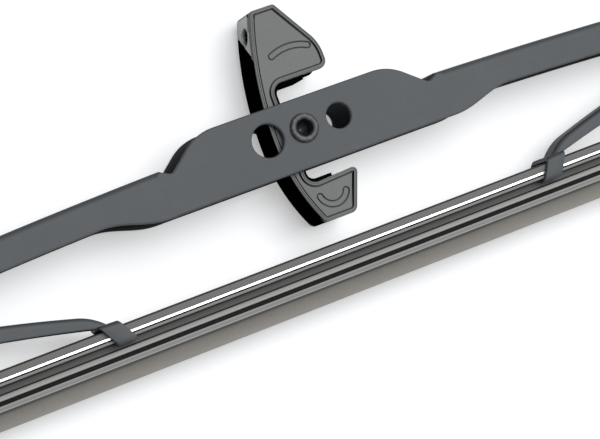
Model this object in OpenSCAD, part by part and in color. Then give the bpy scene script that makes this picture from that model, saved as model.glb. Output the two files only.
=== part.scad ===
// Bracket wiper blade with a hook-arm adapter, lying on its side.
// X runs along the blade, Y points away from the glass, Z is up.
// The origin is the adapter's pivot, midway across the blade.

/* [Blade] */
// Length of the rubber, a 21 inch size
rubber_len = 530; // [515:1:545]
// Length of rubber past the outermost claws at each end
rubber_reach = 25; // [20:0.5:30]
// Depth from the adapter's pivot to the top of the rubber's head
head_drop = 22.95; // [22:0.05:24]

/* [Primary bridge] */
// Sheet thickness of the bridge
bridge_wall = 1.1; // [0.9:0.05:1.2]
// Width across the middle of the bridge
middle_w = 12.1; // [11.8:0.1:13]
// Width across the arms of the bridge
arm_w = 11.2; // [11:0.1:11.6]
// Radius of the bridge's arch along its back
arch_r = 1250; // [1150:10:1500]
// Height of the arch's back above the pivot
arch_top = 1.95; // [1.5:0.05:2.2]
// Depth of the arm's channel
arm_depth = 6.3; // [6:0.1:6.8]
// Outer radius of the folded edges
bend_r = 1.6; // [1.3:0.1:2]
// Top of the side plates above the pivot
plate_top = 6; // [5.7:0.1:6.4]
// Bottom of the side plates below the pivot
plate_low = 7.7; // [7.4:0.1:8]
// Half length of the straight top edge of the plates
crest_x = 17.3; // [16:0.1:18]
// Radius of the plates' shoulders
shoulder_r = 10; // [9:0.1:11]
// Slope of the shoulders, in degrees
shoulder_slope = 39; // [36:0.5:42]
// Radius of the notch at the foot of each shoulder
notch_r = 1.2; // [1:0.1:1.4]
// Height of the notch's bottom above the pivot
notch_low = 0.45; // [0.2:0.05:0.7]
// Length of the curve from the deep plates to the arms
sweep_len = 13; // [11:0.5:15]
// Radius of the rounded end of each arm
end_r = 3.7; // [3.5:0.1:4]

/* [Arm interfaces] */
// Diameter of the holes for a three-sixteenths inch side pin
small_pin_d = 5.05; // [4.9:0.05:5.2]
// Distance from the pivot to those holes
small_pin_x = 7.61; // [7.5:0.01:8]
// Diameter of the holes for a quarter inch side pin
large_pin_d = 6.5; // [6.4:0.05:6.7]
// Distance from the pivot to those holes
large_pin_x = 7.78; // [7.7:0.01:8]

/* [Centre rivet] */
// Diameter of the rivet's shank
rivet_d = 4.1; // [3.8:0.1:4.3]
// Diameter of the rivet's rolled ring and flat head
rivet_head_d = 5.8; // [5.6:0.1:6.4]
// Height of the ring and the head
rivet_head_h = 0.75; // [0.6:0.05:0.9]
// Diameter of the hollow in the rivet's end
rivet_hollow_d = 3.2; // [2.8:0.1:3.2]
// Depth of that hollow
rivet_hollow_h = 2.2; // [1.8:0.1:3]
// Outer diameter of the sleeve that spaces the plates
sleeve_d = 5.6; // [5.4:0.1:6]

/* [Yokes] */
// Sheet thickness of a yoke
yoke_wall = 0.8; // [0.7:0.05:0.9]
// Depth of a yoke's sides at its pivot
yoke_depth = 5.7; // [5.4:0.1:6]
// Depth of a yoke's sides at its claw
tip_depth = 2.3; // [2:0.1:2.5]
// Height of a yoke's back above its pivot
yoke_rise = 2.3; // [2.2:0.05:2.4]
// Outer radius of a yoke's folded edges
yoke_bend_r = 1.2; // [1:0.1:1.4]
// Height of a yoke's bow over the roof of its claw
yoke_bow_h = 2.4; // [2.1:0.05:2.6]
// Radius of the sharp curve at each claw
crook_r = 11; // [9:0.5:12]
// Diameter of the yoke's rivet
yoke_rivet_d = 2.6; // [2.4:0.1:2.8]

/* [Claw yokes] */
// Sheet thickness of a claw yoke
claw_yoke_wall = 0.7; // [0.6:0.05:0.8]
// Height of a claw yoke's back above the rubber
claw_yoke_h = 6.6; // [6.4:0.1:7]
// Depth of a claw yoke's sides at its pivot
claw_yoke_depth = 4.9; // [4.6:0.1:5]
// Radius of the claw yoke's bow
claw_bow_r = 290; // [270:1:310]
// Diameter of the claw yoke's rivet
claw_rivet_d = 2.2; // [2:0.1:2.4]

/* [Claws] */
// Width of a claw along the blade
claw_w = 3.7; // [3.4:0.1:4]
// Sheet thickness of a claw
claw_wall = 0.8; // [0.7:0.05:0.85]
// Lean of a claw's plates, in degrees
claw_lean = 30; // [26:1:32]
// Gap between the rubber's head and a claw
claw_gap = 0.25; // [0.22:0.01:0.3]
// Gap between the two lips of a claw
lip_gap = 4; // [3.6:0.1:4.4]

/* [Liners and rivets] */
// Thickness of a plastic liner
liner_t = 0.4; // [0.35:0.05:0.45]
// Radial clearance of a rivet in its holes
rivet_play = 0.05; // [0.03:0.01:0.07]
// Side clearance between a liner and the channel inside it
side_play = 0.05; // [0.04:0.01:0.08]
// Height of the small rivets' heads
small_head_h = 0.5; // [0.4:0.05:0.6]

/* [Rubber] */
// Width of the rubber's head
head_w = 6.7; // [6.5:0.1:6.9]
// Height of the head above the steel strips
head_h = 1.1; // [1:0.05:1.2]
// Height of the flange under the steel strips
flange_h = 0.75; // [0.7:0.05:0.8]
// Height of the neck that the claws grip
neck_h = 1.3; // [1.25:0.05:1.4]
// Width of the neck
neck_w = 2.2; // [2:0.1:2.6]
// Height of the shoulder under the neck
shoulder_h = 0.9; // [0.8:0.05:1]
// Width of the shoulder
shoulder_w = 5.4; // [5.2:0.1:5.8]
// Height of the groove that lets the lip tip over
groove_h = 0.9; // [0.8:0.05:1]
// Thickness of the hinge in that groove
hinge_t = 1; // [0.8:0.1:1.2]
// Height of the flange at the top of the lip
lip_flange_h = 0.9; // [0.8:0.05:1]
// Width of that flange
lip_flange_w = 4.8; // [4.4:0.1:5.2]
// Height of the tapered lip
lip_h = 4.1; // [3.8:0.1:4.6]
// Thickness of the lip's wiping edge
lip_edge = 0.7; // [0.6:0.05:0.9]

/* [Steel strips] */
// Thickness of each steel strip
strip_t = 0.64; // [0.6:0.02:0.7]
// Width of each steel strip
strip_w = 2; // [1.8:0.1:2.2]
// Length by which the rubber outreaches the strips at each end
strip_inset = 3; // [2:0.5:5]

/* [Adapter] */
// Width of the adapter across its cheeks
adapter_w = 9.2; // [9:0.1:9.3]
// Thickness of a cheek
cheek_t = 1.2; // [1:0.05:1.4]
// Thickness of the curved back
back_t = 1.3; // [1.1:0.1:1.5]
// Reach of the long lobe above the pivot
long_lobe = 24.8; // [24:0.1:25.2]
// Reach of the short lobe below the pivot
short_lobe = 18.6; // [18:0.1:19]
// Distance from the pivot to the back's outermost point
back_x = 6.2; // [6.1:0.1:6.5]
// Radius of the back along the long lobe
long_back_r = 74; // [70:1:80]
// Radius of the back along the short lobe
short_back_r = 39; // [37:1:42]
// Height of the mouth's upper edge above the pivot
mouth_top = 9.9; // [9.7:0.1:10.2]
// Depth of the mouth's lower edge below the pivot
mouth_low = 10.6; // [10.3:0.1:10.9]
// Distance from the pivot back to the mouth's floor
mouth_x = 2.7; // [2.6:0.1:2.9]
// Width of the raised rim round each cheek
rim_w = 0.75; // [0.6:0.05:0.9]
// Depth of the field inside the rim
field_t = 0.3; // [0.2:0.05:0.4]
// Width of the curved grooves in the fields
mark_w = 1.25; // [1:0.05:1.4]
// Wall of the snap ring round the sleeve
snap_t = 1.5; // [1.3:0.1:1.6]
// Radial clearance of the snap ring on the sleeve
snap_play = 0.05; // [0.03:0.01:0.08]
// Opening of the snap ring, in degrees
snap_open = 100; // [90:2:110]
// Diameter of the hole in the back
back_hole_d = 3; // [2.6:0.1:3.2]

/* [Hidden] */

// Facets of round bores, of the arch and of the small curves
bore_fn = 48;
arch_fn = 720;
crook_fn = 96;
// Steps along a folded edge and along a channel's lower edge
bend_steps = 5;
edge_steps = 8;
// Room above a pivoting channel for its swing, and above a liner
swing_gap = 0.35;
seat_gap = 0.2;
// Step from the outside of a crook to the edges of its sides
crook_step = 0.35;
// Length that a cutting tool reaches past what it cuts
past = 1;
// Thickness of the slices that a tapered stretch is spanned between
slice = 0.01;

paint = [0.376, 0.396, 0.408];
plastic = [0.40, 0.41, 0.41];
nylon = [0.12, 0.12, 0.12];
rubber_grey = [0.40, 0.39, 0.37];
bright_steel = [0.80, 0.81, 0.82];

// Places along the blade, where six claws share the rubber evenly
claw_pitch = (rubber_len - 2 * rubber_reach) / 5;
inner_claw_x = claw_pitch / 2;
yoke_x = 1.5 * claw_pitch;
claw_yoke_x = 2 * claw_pitch;
claw_half_span = claw_pitch / 2;

// Half widths of the nested channels
middle_half = middle_w / 2;
bridge_half = arm_w / 2;
liner_half = bridge_half - bridge_wall;
yoke_half = liner_half - liner_t - side_play;
claw_liner_half = yoke_half - yoke_wall;
claw_yoke_half = claw_liner_half - liner_t - side_play;
claw_half = head_w / 2 + claw_gap + claw_wall;

// Heights in the rubber, from its head down to its lip
strip_play = 0.04;
lip_play = 0.2;
slot_h = strip_t + 2 * strip_play;
head_y = -head_drop;
flange_y = head_y - head_h - slot_h - flange_h;
neck_low_y = flange_y - neck_h;
shoulder_low_y = neck_low_y - shoulder_h;
groove_low_y = shoulder_low_y - groove_h;
lip_top_y = groove_low_y - lip_flange_h;
lip_low_y = lip_top_y - lip_h;

// Heights of the claws, the yokes and their pivots
claw_roof_y = head_y + claw_gap;
claw_top_y = claw_roof_y + claw_wall;
claw_low_y = flange_y - lip_play - claw_wall;
claw_shift = tan(claw_lean) * (claw_top_y - claw_low_y) / 2;
claw_yoke_top_y = head_y + claw_yoke_h;
claw_yoke_rise = claw_rivet_d / 2 + claw_yoke_wall + 0.4;
claw_pivot_y = claw_yoke_top_y - claw_yoke_rise;
yoke_pivot_y = arch_y(yoke_x) - bridge_wall - seat_gap - liner_t - swing_gap - yoke_rise;
yoke_top_y = yoke_pivot_y + yoke_rise;
yoke_end_y = claw_yoke_top_y + swing_gap + liner_t + yoke_wall;
claw_pivot_r = 2.9;

// Shoulder of the side plates: its arc's end, the notch and the window's end
shoulder_end = [crest_x + shoulder_r * sin(shoulder_slope),
                plate_top - shoulder_r * (1 - cos(shoulder_slope))];
notch_c = [shoulder_end.x + notch_r * sin(shoulder_slope)
               + (shoulder_end.y - notch_low - notch_r * (1 - cos(shoulder_slope)))
               / tan(shoulder_slope),
           notch_low + notch_r];
window_x = notch_c.x + notch_r * sin(shoulder_slope)
    + (arch_y(notch_c.x) - notch_low - notch_r * (1 - cos(shoulder_slope))) / tan(shoulder_slope);
sweep_x = window_x + 1.5;
arm_x = sweep_x + sweep_len;

// Height of the back of the bridge's arch at x, and the angle there
function arch_y(x) = arch_top - arch_r + sqrt(arch_r * arch_r - x * x);
function arch_angle(x) = asin(x / arch_r);

function reverse(points) = [for (i = [len(points) - 1:-1:0]) points[i]];
function mirrored(points) = [for (p = points) [p.x, -p.y]];

// Points on an arc from angle a0 to a1
function arc(c, r, a0, a1, n) =
    [for (i = [0:n]) let (a = a0 + (a1 - a0) * i / n) c + r * [cos(a), sin(a)]];

// Closed outline of a sheet folded about the middle line, from the outer
// and the inner path of one half
function folded(outer, inner) =
    concat(outer, reverse(mirrored(outer)), reverse(mirrored(inner)), inner);

// Wall, bend and half web of a channel whose back lies at radius r
function channel_half(r, half, depth, bend) =
    concat([[r - depth, half]], arc([r - bend, half - bend], bend, 90, 0, bend_steps));
function channel_section(r, half, wall, depth, bend) =
    folded(channel_half(r, half, depth, bend),
           reverse(channel_half(r - wall, half - wall, depth - wall, bend - wall)));

// Centre of the circle through three points
function through(a, b, p) =
    let (u = b - a, v = p - a)
    a + [v.y * (u * u) - u.y * (v * v), u.x * (v * v) - v.x * (u * u)] / (2 * cross(u, v));
// Point of a circle at a heading, which is 0 where it runs level
function at(c, r, h) = c + r * [sin(h), cos(h)];
// Height of a circle at x, and the heading there
function height(c, r, x) = c.y + sqrt(r * r - (x - c.x) * (x - c.x));
function heading(c, r, x) = asin((x - c.x) / r);

// Headings where the crook of a bow starts and where it meets the claw's
// roof, whose middle lies at end, and the crook's centre
function crook_start(c, r, wall, end) =
    let (far = norm(end - c), bow = r - crook_r, reach = crook_r - wall / 2)
    atan2(end.x - c.x, end.y - c.y)
        - acos((far * far + bow * bow - reach * reach) / (2 * far * bow));
function crook_c(c, r, wall, end) = at(c, r - crook_r, crook_start(c, r, wall, end));
function crook_end(c, r, wall, end) =
    let (d = end - crook_c(c, r, wall, end)) atan2(d.x, d.y);

// Lower edge of an arm from its pivot at x = 0 to tip_x, under its bow
function lower_edge(c, r, tip_x, root, tip, power, floor_y) =
    [for (k = [0:2 * edge_steps])
        let (x = tip_x * k / (2 * edge_steps),
             depth = tip + (root - tip) * pow(1 - k / (2 * edge_steps), power))
        [x, max(height(c, r, x) - depth, floor_y)]];

// End of an arm's outline at its crook, from its tip back to over the bow
function crook_edge(c, r, wall, end, tip_x) =
    let (cc = crook_c(c, r, wall, end), h0 = crook_start(c, r, wall, end),
         h1 = crook_end(c, r, wall, end), low = crook_r - crook_step, start = at(c, r, h0))
    concat([[tip_x + past, claw_roof_y], at(cc, low, h1) + past * [1, -1]],
           [for (k = [edge_steps:-1:1]) at(cc, low, h0 + (h1 - h0) * k / edge_steps)],
           [start + crook_step * [-1, 1]]);

// Channel bent in one curve about c, between two headings
module bow(c, r, from, to, half, wall, depth, bend) {
    translate([c.x, c.y, 0])
        rotate([0, 0, 90 - to])
            rotate_extrude(angle = to - from, $fn = arch_fn)
                polygon(channel_section(r, half, wall, depth, bend));
}

// Web of an arm's crook, which runs from inside the bow's web to the claw
module crook_web(c, r, wall, end, half) {
    cc = crook_c(c, r, wall, end);
    h0 = crook_start(c, r, wall, end) - 7;
    h1 = crook_end(c, r, wall, end);
    low = crook_r - slice * 5;
    linear_extrude(2 * half, center = true)
        polygon(concat([for (k = [0:edge_steps]) at(cc, low, h0 + (h1 - h0) * k / edge_steps)],
                       [for (k = [edge_steps:-1:0])
                           at(cc, low - wall, h0 + (h1 - h0) * k / edge_steps)]));
}

// Claw that wraps the rubber's head, its middle at x = 0, leaning to +x
module claw() {
    bend = claw_wall + 0.3;
    inside = claw_half - claw_wall;
    outer = concat([[claw_low_y, lip_gap / 2]],
                   arc([claw_low_y + bend, claw_half - bend], bend, 180, 90, bend_steps),
                   arc([claw_top_y - bend, claw_half - bend], bend, 90, 0, bend_steps));
    inner = concat(arc([claw_top_y - bend, claw_half - bend], bend - claw_wall, 0, 90, 2),
                   arc([claw_low_y + bend, claw_half - bend], bend - claw_wall, 90, 180, 2),
                   [[claw_low_y + claw_wall, lip_gap / 2]]);
    intersection() {
        rotate([90, 0, 90])
            linear_extrude(4 * claw_w, center = true)
                polygon(folded(outer, inner));
        linear_extrude(4 * claw_half, center = true)
            polygon([[-claw_shift - claw_w / 2, claw_top_y],
                     [-claw_shift + claw_w / 2, claw_top_y],
                     [claw_shift + claw_w / 2, claw_low_y],
                     [claw_shift - claw_w / 2, claw_low_y]]);
    }
}

// Round shaft across the blade
module across(r, half, fn = bore_fn) {
    cylinder(h = 2 * half, r = r, center = true, $fn = fn);
}

// Both halves of something that is the same to the left and to the right
module both_ends() {
    for (side = [0, 1])
        mirror([side, 0, 0])
            children();
}

// Both sides of something that is the same on the near and the far side
module both_sides() {
    for (side = [0, 1])
        mirror([0, 0, side])
            children();
}

// Plate of the near side between two half widths
module side_sheet(outer_half, thickness) {
    translate([0, 0, outer_half - thickness])
        linear_extrude(thickness)
            children();
}

// Point where a line from p touches a circle from below
function touch(p, c, r) =
    let (d = p - c, far = norm(d), a = atan2(d.y, d.x) + acos(r / far))
    c + r * [cos(a), sin(a)];

module bridge_plates() {
    half = concat([[0, -plate_low], [window_x, -plate_low], [window_x, arch_y(window_x)]],
                  arc(notch_c, notch_r, 270 + shoulder_slope, 270 - shoulder_slope, edge_steps),
                  arc([crest_x, plate_top - shoulder_r], shoulder_r,
                      90 - shoulder_slope, 90, edge_steps));
    both_sides()
        side_sheet(middle_half, bridge_wall)
            polygon(concat(half, reverse([for (p = half) if (p.x > 0) [-p.x, p.y]])));
}

// Slice of the bridge in the arch's radial plane at x
module bridge_slice(x, half, depth, bend, down) {
    outline = channel_half(arch_r - down, half, depth, bend);
    translate([0, arch_top - arch_r, 0])
        rotate([0, 0, 90 - arch_angle(x)])
            rotate([90, 0, 0])
                linear_extrude(slice, center = true)
                    polygon(concat(outline, reverse(mirrored(outline))));
}

// Stretch where the plates narrow and sweep up into the arms
module bridge_sweep() {
    deep = plate_low + arch_top + past;
    drop = [for (i = [0:2 * edge_steps])
        let (x = sweep_x + sweep_len * i / (2 * edge_steps),
             low = arch_y(arm_x) - arm_depth,
             f = (1 - cos(180 * i / (2 * edge_steps))) / 2)
        [x, -plate_low + (plate_low + low) * f]];
    difference() {
        hull() {
            bridge_slice(window_x, middle_half, deep, bend_r, 0);
            bridge_slice(arm_x, bridge_half, deep, bend_r, 0);
        }
        hull() {
            bridge_slice(window_x - past / 2, middle_half - bridge_wall, deep,
                         bend_r - bridge_wall, bridge_wall);
            bridge_slice(arm_x + past / 2, liner_half, deep,
                         bend_r - bridge_wall, bridge_wall);
        }
        linear_extrude(4 * middle_half, center = true)
            polygon(concat([[window_x - past, -plate_low]], drop,
                           [[arm_x + past, arch_y(arm_x + past) - arm_depth],
                            [arm_x + past, -2 * deep], [window_x - past, -2 * deep]]));
    }
}

module bridge_arm() {
    last = arch_angle(yoke_x + end_r + past);
    pivot = [yoke_x, yoke_pivot_y];
    root_x = yoke_x - 4 * end_r;
    root = [root_x, arch_y(root_x) - arm_depth + 0.1];
    difference() {
        intersection() {
            bow([0, arch_top - arch_r], arch_r, arch_angle(arm_x), last,
                bridge_half, bridge_wall, arm_depth + end_r, bend_r);
            linear_extrude(4 * middle_half, center = true) {
                difference() {
                    translate([arm_x - past, -6 * arm_depth])
                        square([yoke_x - arm_x + 2 * past, 7 * arm_depth]);
                    translate([0, arch_top - arch_r])
                        circle(r = arch_r - arm_depth, $fn = arch_fn);
                }
                translate(pivot)
                    circle(r = end_r, $fn = bore_fn);
                polygon([root, touch(root, pivot, end_r), pivot, [root_x, root.y + past]]);
            }
        }
        translate([yoke_x + past, yoke_pivot_y - end_r, -liner_half])
            cube([2 * end_r, 3 * end_r, 2 * liner_half]);
    }
}

module primary_bridge() {
    color(paint)
        difference() {
            union() {
                bridge_plates();
                both_ends() {
                    bridge_sweep();
                    bridge_arm();
                }
            }
            across(rivet_d / 2 + rivet_play, middle_half + past);
            translate([small_pin_x, 0, 0])
                across(small_pin_d / 2, middle_half + past);
            translate([-large_pin_x, 0, 0])
                across(large_pin_d / 2, middle_half + past);
            both_ends()
                translate([yoke_x, yoke_pivot_y, 0])
                    across(yoke_rivet_d / 2 + rivet_play, middle_half + past);
        }
}

// Semi-tubular rivet: flat head on the far side, rolled ring on the near
module center_rivet() {
    ring_r = (rivet_head_d - rivet_hollow_d) / 4;
    ring = concat([[rivet_hollow_d / 2, -slice]],
                  [for (p = arc([0, 0], 1, 180, 0, 2 * bend_steps))
                      [(rivet_head_d + rivet_hollow_d) / 4 + ring_r * p.x, rivet_head_h * p.y]],
                  [[rivet_head_d / 2, -slice]]);
    color(paint)
        difference() {
            union() {
                translate([0, 0, -middle_half - slice])
                    cylinder(h = 2 * middle_half + slice, d = rivet_d, $fn = bore_fn);
                translate([0, 0, middle_half + slice])
                    rotate_extrude($fn = bore_fn)
                        polygon(ring);
                translate([0, 0, -middle_half - rivet_head_h])
                    cylinder(h = rivet_head_h, d1 = rivet_head_d - 1, d2 = rivet_head_d,
                             $fn = bore_fn);
            }
            translate([0, 0, middle_half - rivet_hollow_h])
                cylinder(h = rivet_hollow_h + rivet_head_h + past, d = rivet_hollow_d,
                         $fn = bore_fn);
            translate([0, 0, middle_half - rivet_hollow_h - rivet_hollow_d / 4])
                cylinder(h = rivet_hollow_d / 4 + slice, d1 = 0.4, d2 = rivet_hollow_d,
                         $fn = bore_fn);
        }
}

module rivet_sleeve() {
    color(bright_steel)
        difference() {
            across(sleeve_d / 2, middle_half - bridge_wall);
            across(rivet_d / 2 + rivet_play, middle_half);
        }
}

// Solid rivet with a low domed head on each side
module small_rivet(d, half) {
    color(paint) {
        across(d / 2, half);
        both_sides()
            translate([0, 0, half])
                cylinder(h = small_head_h, d1 = 1.8 * d, d2 = 1.2 * d, $fn = bore_fn);
    }
}

// Plastic saddle that fills the gap between two nested channels at a pivot
module liner(outer_half, rise, rivet, reach, front) {
    top = rise + swing_gap + liner_t;
    bend = 2 * liner_t;
    corner = [top - bend, outer_half - bend];
    outer = concat([[-reach - past, outer_half]], arc(corner, bend, 90, 0, bend_steps));
    inner = concat(arc(corner, bend - liner_t, 0, 90, 2),
                   [[-reach - past, outer_half - liner_t]]);
    color(nylon)
        difference() {
            intersection() {
                rotate([90, 0, 90])
                    linear_extrude(4 * reach, center = true)
                        polygon(folded(outer, inner));
                linear_extrude(3 * outer_half, center = true) {
                    circle(r = reach, $fn = bore_fn);
                    translate([-reach, 0])
                        square([reach + front, top + past]);
                }
            }
            across(rivet / 2 + rivet_play, outer_half + past);
        }
}

// Yoke with its pivot at x = 0 and its claw towards +x
module yoke_arms() {
    outer_x = yoke_x - claw_yoke_x;
    end_x = outer_x - 0.6;
    claw_x = yoke_x - inner_claw_x;
    tip_x = claw_x - 2.2;
    end = [claw_x - claw_shift, claw_roof_y + claw_wall / 2];
    c = through([outer_x, yoke_end_y], [0, yoke_top_y], [end.x, claw_roof_y + yoke_bow_h]);
    r = norm(end + [0, yoke_bow_h - claw_wall / 2] - c);
    crook_x = at(c, r, crook_start(c, r, yoke_wall, end)).x - crook_step;
    outer_depth = yoke_end_y - claw_pivot_y + 2.2;
    end_half = claw_liner_half + 2 * slice;
    inner_edge = lower_edge(c, r, tip_x, yoke_depth, tip_depth, 0.9, claw_roof_y);
    outer_edge = lower_edge(c, r, end_x, yoke_depth, outer_depth, 1, -yoke_x);
    from = heading(c, r, outer_x - claw_pivot_r - past);
    to = heading(c, r, claw_x - past);
    top = c.y + r + past;
    difference() {
        union() {
            intersection() {
                bow(c, r, from, to, yoke_half, yoke_wall, yoke_depth + 2 * past, yoke_bend_r);
                linear_extrude(3 * yoke_half, center = true) {
                    polygon(concat(inner_edge,
                                   crook_edge(c, r, yoke_wall, end, tip_x),
                                   [[crook_x, top], [end_x, top]],
                                   [for (p = reverse(outer_edge)) if (p.x < 0) p]));
                    translate([outer_x, claw_pivot_y])
                        circle(r = claw_pivot_r, $fn = bore_fn);
                }
            }
            crook_web(c, r, yoke_wall, end, yoke_half - yoke_wall / 2);
            translate([claw_x, 0, 0])
                claw();
        }
        translate([end_x - 2 * claw_pivot_r, claw_pivot_y - claw_pivot_r, -end_half])
            cube([2 * claw_pivot_r, 3 * claw_pivot_r, 2 * end_half]);
        translate([0, yoke_pivot_y, 0])
            across(yoke_rivet_d / 2 + rivet_play, claw_half);
        translate([outer_x, claw_pivot_y, 0])
            across(claw_rivet_d / 2 + rivet_play, claw_half);
    }
}

module yoke() {
    color(paint)
        translate([yoke_x, 0, 0])
            mirror([1, 0, 0])
                yoke_arms();
}

module claw_yoke() {
    r = claw_bow_r;
    c = [0, claw_yoke_top_y - r];
    end = [claw_half_span - claw_shift, claw_roof_y + claw_wall / 2];
    crook_x = at(c, r, crook_start(c, r, claw_yoke_wall, end)).x - crook_step;
    tip_x = claw_half_span - 2.2;
    far = heading(c, r, claw_half_span - past / 2);
    edge = concat(lower_edge(c, r, tip_x, claw_yoke_depth, tip_depth, 0.9, claw_roof_y),
                  crook_edge(c, r, claw_yoke_wall, end, tip_x),
                  [[crook_x, claw_yoke_top_y + past]]);
    color(paint)
        translate([claw_yoke_x, 0, 0])
            difference() {
                union() {
                    intersection() {
                        bow(c, r, -far, far, claw_yoke_half, claw_yoke_wall,
                            claw_yoke_depth + past, yoke_bend_r);
                        linear_extrude(4 * claw_half, center = true)
                            polygon(concat(edge, [for (p = reverse(edge))
                                if (p.x > 0) [-p.x, p.y]]));
                    }
                    both_ends() {
                        crook_web(c, r, claw_yoke_wall, end,
                                  claw_yoke_half - claw_yoke_wall / 2);
                        translate([claw_half_span, 0, 0])
                            claw();
                    }
                }
                translate([0, claw_pivot_y, 0])
                    across(claw_rivet_d / 2 + rivet_play, claw_half);
            }
}

module yoke_rivet() {
    translate([yoke_x, yoke_pivot_y, 0])
        small_rivet(yoke_rivet_d, bridge_half);
}

module claw_rivet() {
    translate([claw_yoke_x, claw_pivot_y, 0])
        small_rivet(claw_rivet_d, yoke_half);
}

module yoke_liner() {
    translate([yoke_x, yoke_pivot_y, 0])
        liner(liner_half, yoke_rise, yoke_rivet_d, 3.2, 0.9);
}

module claw_liner() {
    translate([claw_yoke_x, claw_pivot_y, 0])
        liner(claw_liner_half, claw_yoke_rise, claw_rivet_d, 2.6, 0);
}

// Places of the adapter's outline: centres of its corner arcs
long_back_c = [long_back_r - back_x, -1];
short_back_c = [short_back_r - back_x, -1];
function on_back(c, r, y) = [c.x - sqrt(r * r - (y - c.y) * (y - c.y)), y];
// Point at height y whose distance inside a slanted edge is r
function inside_edge(on_edge, normal, r, y) =
    [on_edge.x - (r + (y - on_edge.y) * sin(normal)) / cos(normal), y];

// Outline of a cheek, drawn d inside its real edge
function cheek_outline(d) =
    let (jaw = [8.05, mouth_top + 1.7], jaw_r = 1.7,
         nose_drop = 12.2, nose_r = 8, slant = 32,
         nose = [1.75, max(jaw.y + 1, long_lobe - nose_drop)],
         top_r = 0.8, chin_r = 1.6, heel_r = 1.2, tip_r = 0.9, chin_slant = -22,
         top_left = on_back(long_back_c, long_back_r - top_r, long_lobe - top_r),
         slant_point = nose + nose_r * [cos(slant), sin(slant)],
         top_right = inside_edge(slant_point, slant, top_r, long_lobe - top_r),
         tip = [6.9, -mouth_low - 0.5],
         tip_point = tip + tip_r * [cos(chin_slant), sin(chin_slant)],
         chin = inside_edge(tip_point, chin_slant, chin_r, -short_lobe + chin_r),
         heel = on_back(short_back_c, short_back_r - heel_r, -short_lobe + heel_r),
         long_turn = atan2(top_left.y - long_back_c.y, long_back_c.x - top_left.x),
         short_turn = atan2(short_back_c.y - heel.y, short_back_c.x - heel.x),
         floor_r = 2.2)
    concat(arc(long_back_c, long_back_r - d, 180, 180 - long_turn, edge_steps),
           arc(top_left, top_r - d, 180 - long_turn, 90, 3),
           arc(top_right, top_r - d, 90, slant, 3),
           arc(nose, nose_r - d, slant, 0, edge_steps),
           arc(jaw, jaw_r - d, 0, -90, edge_steps),
           arc([-mouth_x + floor_r, mouth_top - floor_r], floor_r + d, 90, 180, edge_steps),
           arc([-mouth_x + floor_r, -mouth_low + floor_r], floor_r + d, 180, 270, edge_steps),
           arc(tip, tip_r - d, 95, chin_slant, edge_steps),
           arc(chin, chin_r - d, chin_slant, -90, edge_steps),
           arc(heel, heel_r - d, -90, -180 + short_turn, edge_steps),
           arc(short_back_c, short_back_r - d, 180 + short_turn, 180, edge_steps));

// Curved groove in a cheek's field, round-ended, from angle a0 to a1
function groove_outline(c, r, a0, a1) =
    let (w = mark_w / 2, e0 = c + r * [cos(a0), sin(a0)], e1 = c + r * [cos(a1), sin(a1)])
    concat(arc(c, r + w, a0, a1, 2 * edge_steps), arc(e1, w, a1 + 30, a1 + 150, 3),
           arc(c, r - w, a1, a0, 2 * edge_steps), arc(e0, w, a0 + 210, a0 + 330, 3));

module cheek() {
    half = adapter_w / 2;
    difference() {
        side_sheet(half, cheek_t)
            polygon(cheek_outline(0));
        translate([0, 0, half - field_t])
            linear_extrude(past)
                polygon(cheek_outline(rim_w));
        translate([0, 0, half - 2 * field_t])
            linear_extrude(past) {
                polygon(groove_outline([3.3, mouth_top - 3.3], 9.4, 65, 114));
                polygon(groove_outline([1.55, -mouth_low - 2.3], 2.9, 192, 338));
            }
    }
}

// Path of the mouth's edge, moved e out of the material
function mouth_path(e, top_x, low_x) =
    concat([[top_x, mouth_top - e]],
           arc([-mouth_x + 2.2, mouth_top - 2.2], 2.2 - e, 90, 180, edge_steps),
           arc([-mouth_x + 2.2, -mouth_low + 2.2], 2.2 - e, 180, 270, edge_steps),
           [[low_x, -mouth_low + e]]);

// Curved back, end walls and mouth wall between the cheeks
module adapter_web() {
    half = adapter_w / 2 - cheek_t;
    end_t = 1;
    jaw_e = 0.8;
    top_c = long_lobe - end_t;
    low_c = short_lobe - end_t;
    mid_top = mouth_top + end_t;
    mid_low = mouth_low + end_t;
    difference() {
        linear_extrude(2 * half, center = true)
            difference() {
                polygon(cheek_outline(0));
                polygon(concat(arc(long_back_c, long_back_r - back_t,
                                   180 - asin((top_c + 1) / long_back_r),
                                   180 - asin((mid_top + 1) / long_back_r), edge_steps),
                               [[2 * mouth_top, mid_top], [2 * mouth_top, top_c]]));
                polygon(concat(arc(short_back_c, short_back_r - back_t,
                                   180 + asin((mid_low - 1) / short_back_r),
                                   180 + asin((low_c - 1) / short_back_r), edge_steps),
                               [[2 * mouth_top, -low_c], [2 * mouth_top, -mid_low]]));
                polygon([[5.5, mid_top + past], [5.5, 0], [20, 0], [20, mid_top + past]]);
                polygon([[4.5, 0], [4.5, -mid_low - past], [20, -mid_low - past], [20, 0]]);
            }
        translate([-back_x, long_lobe - 4.2, 0])
            rotate([0, 90, 0])
                cylinder(h = 2 * back_x, d = back_hole_d, $fn = bore_fn);
    }
    linear_extrude(2 * half, center = true)
        polygon(concat(mouth_path(jaw_e, 4.3, 2.9), reverse(mouth_path(-end_t / 2, 4.3, 2.9))));
}

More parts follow.
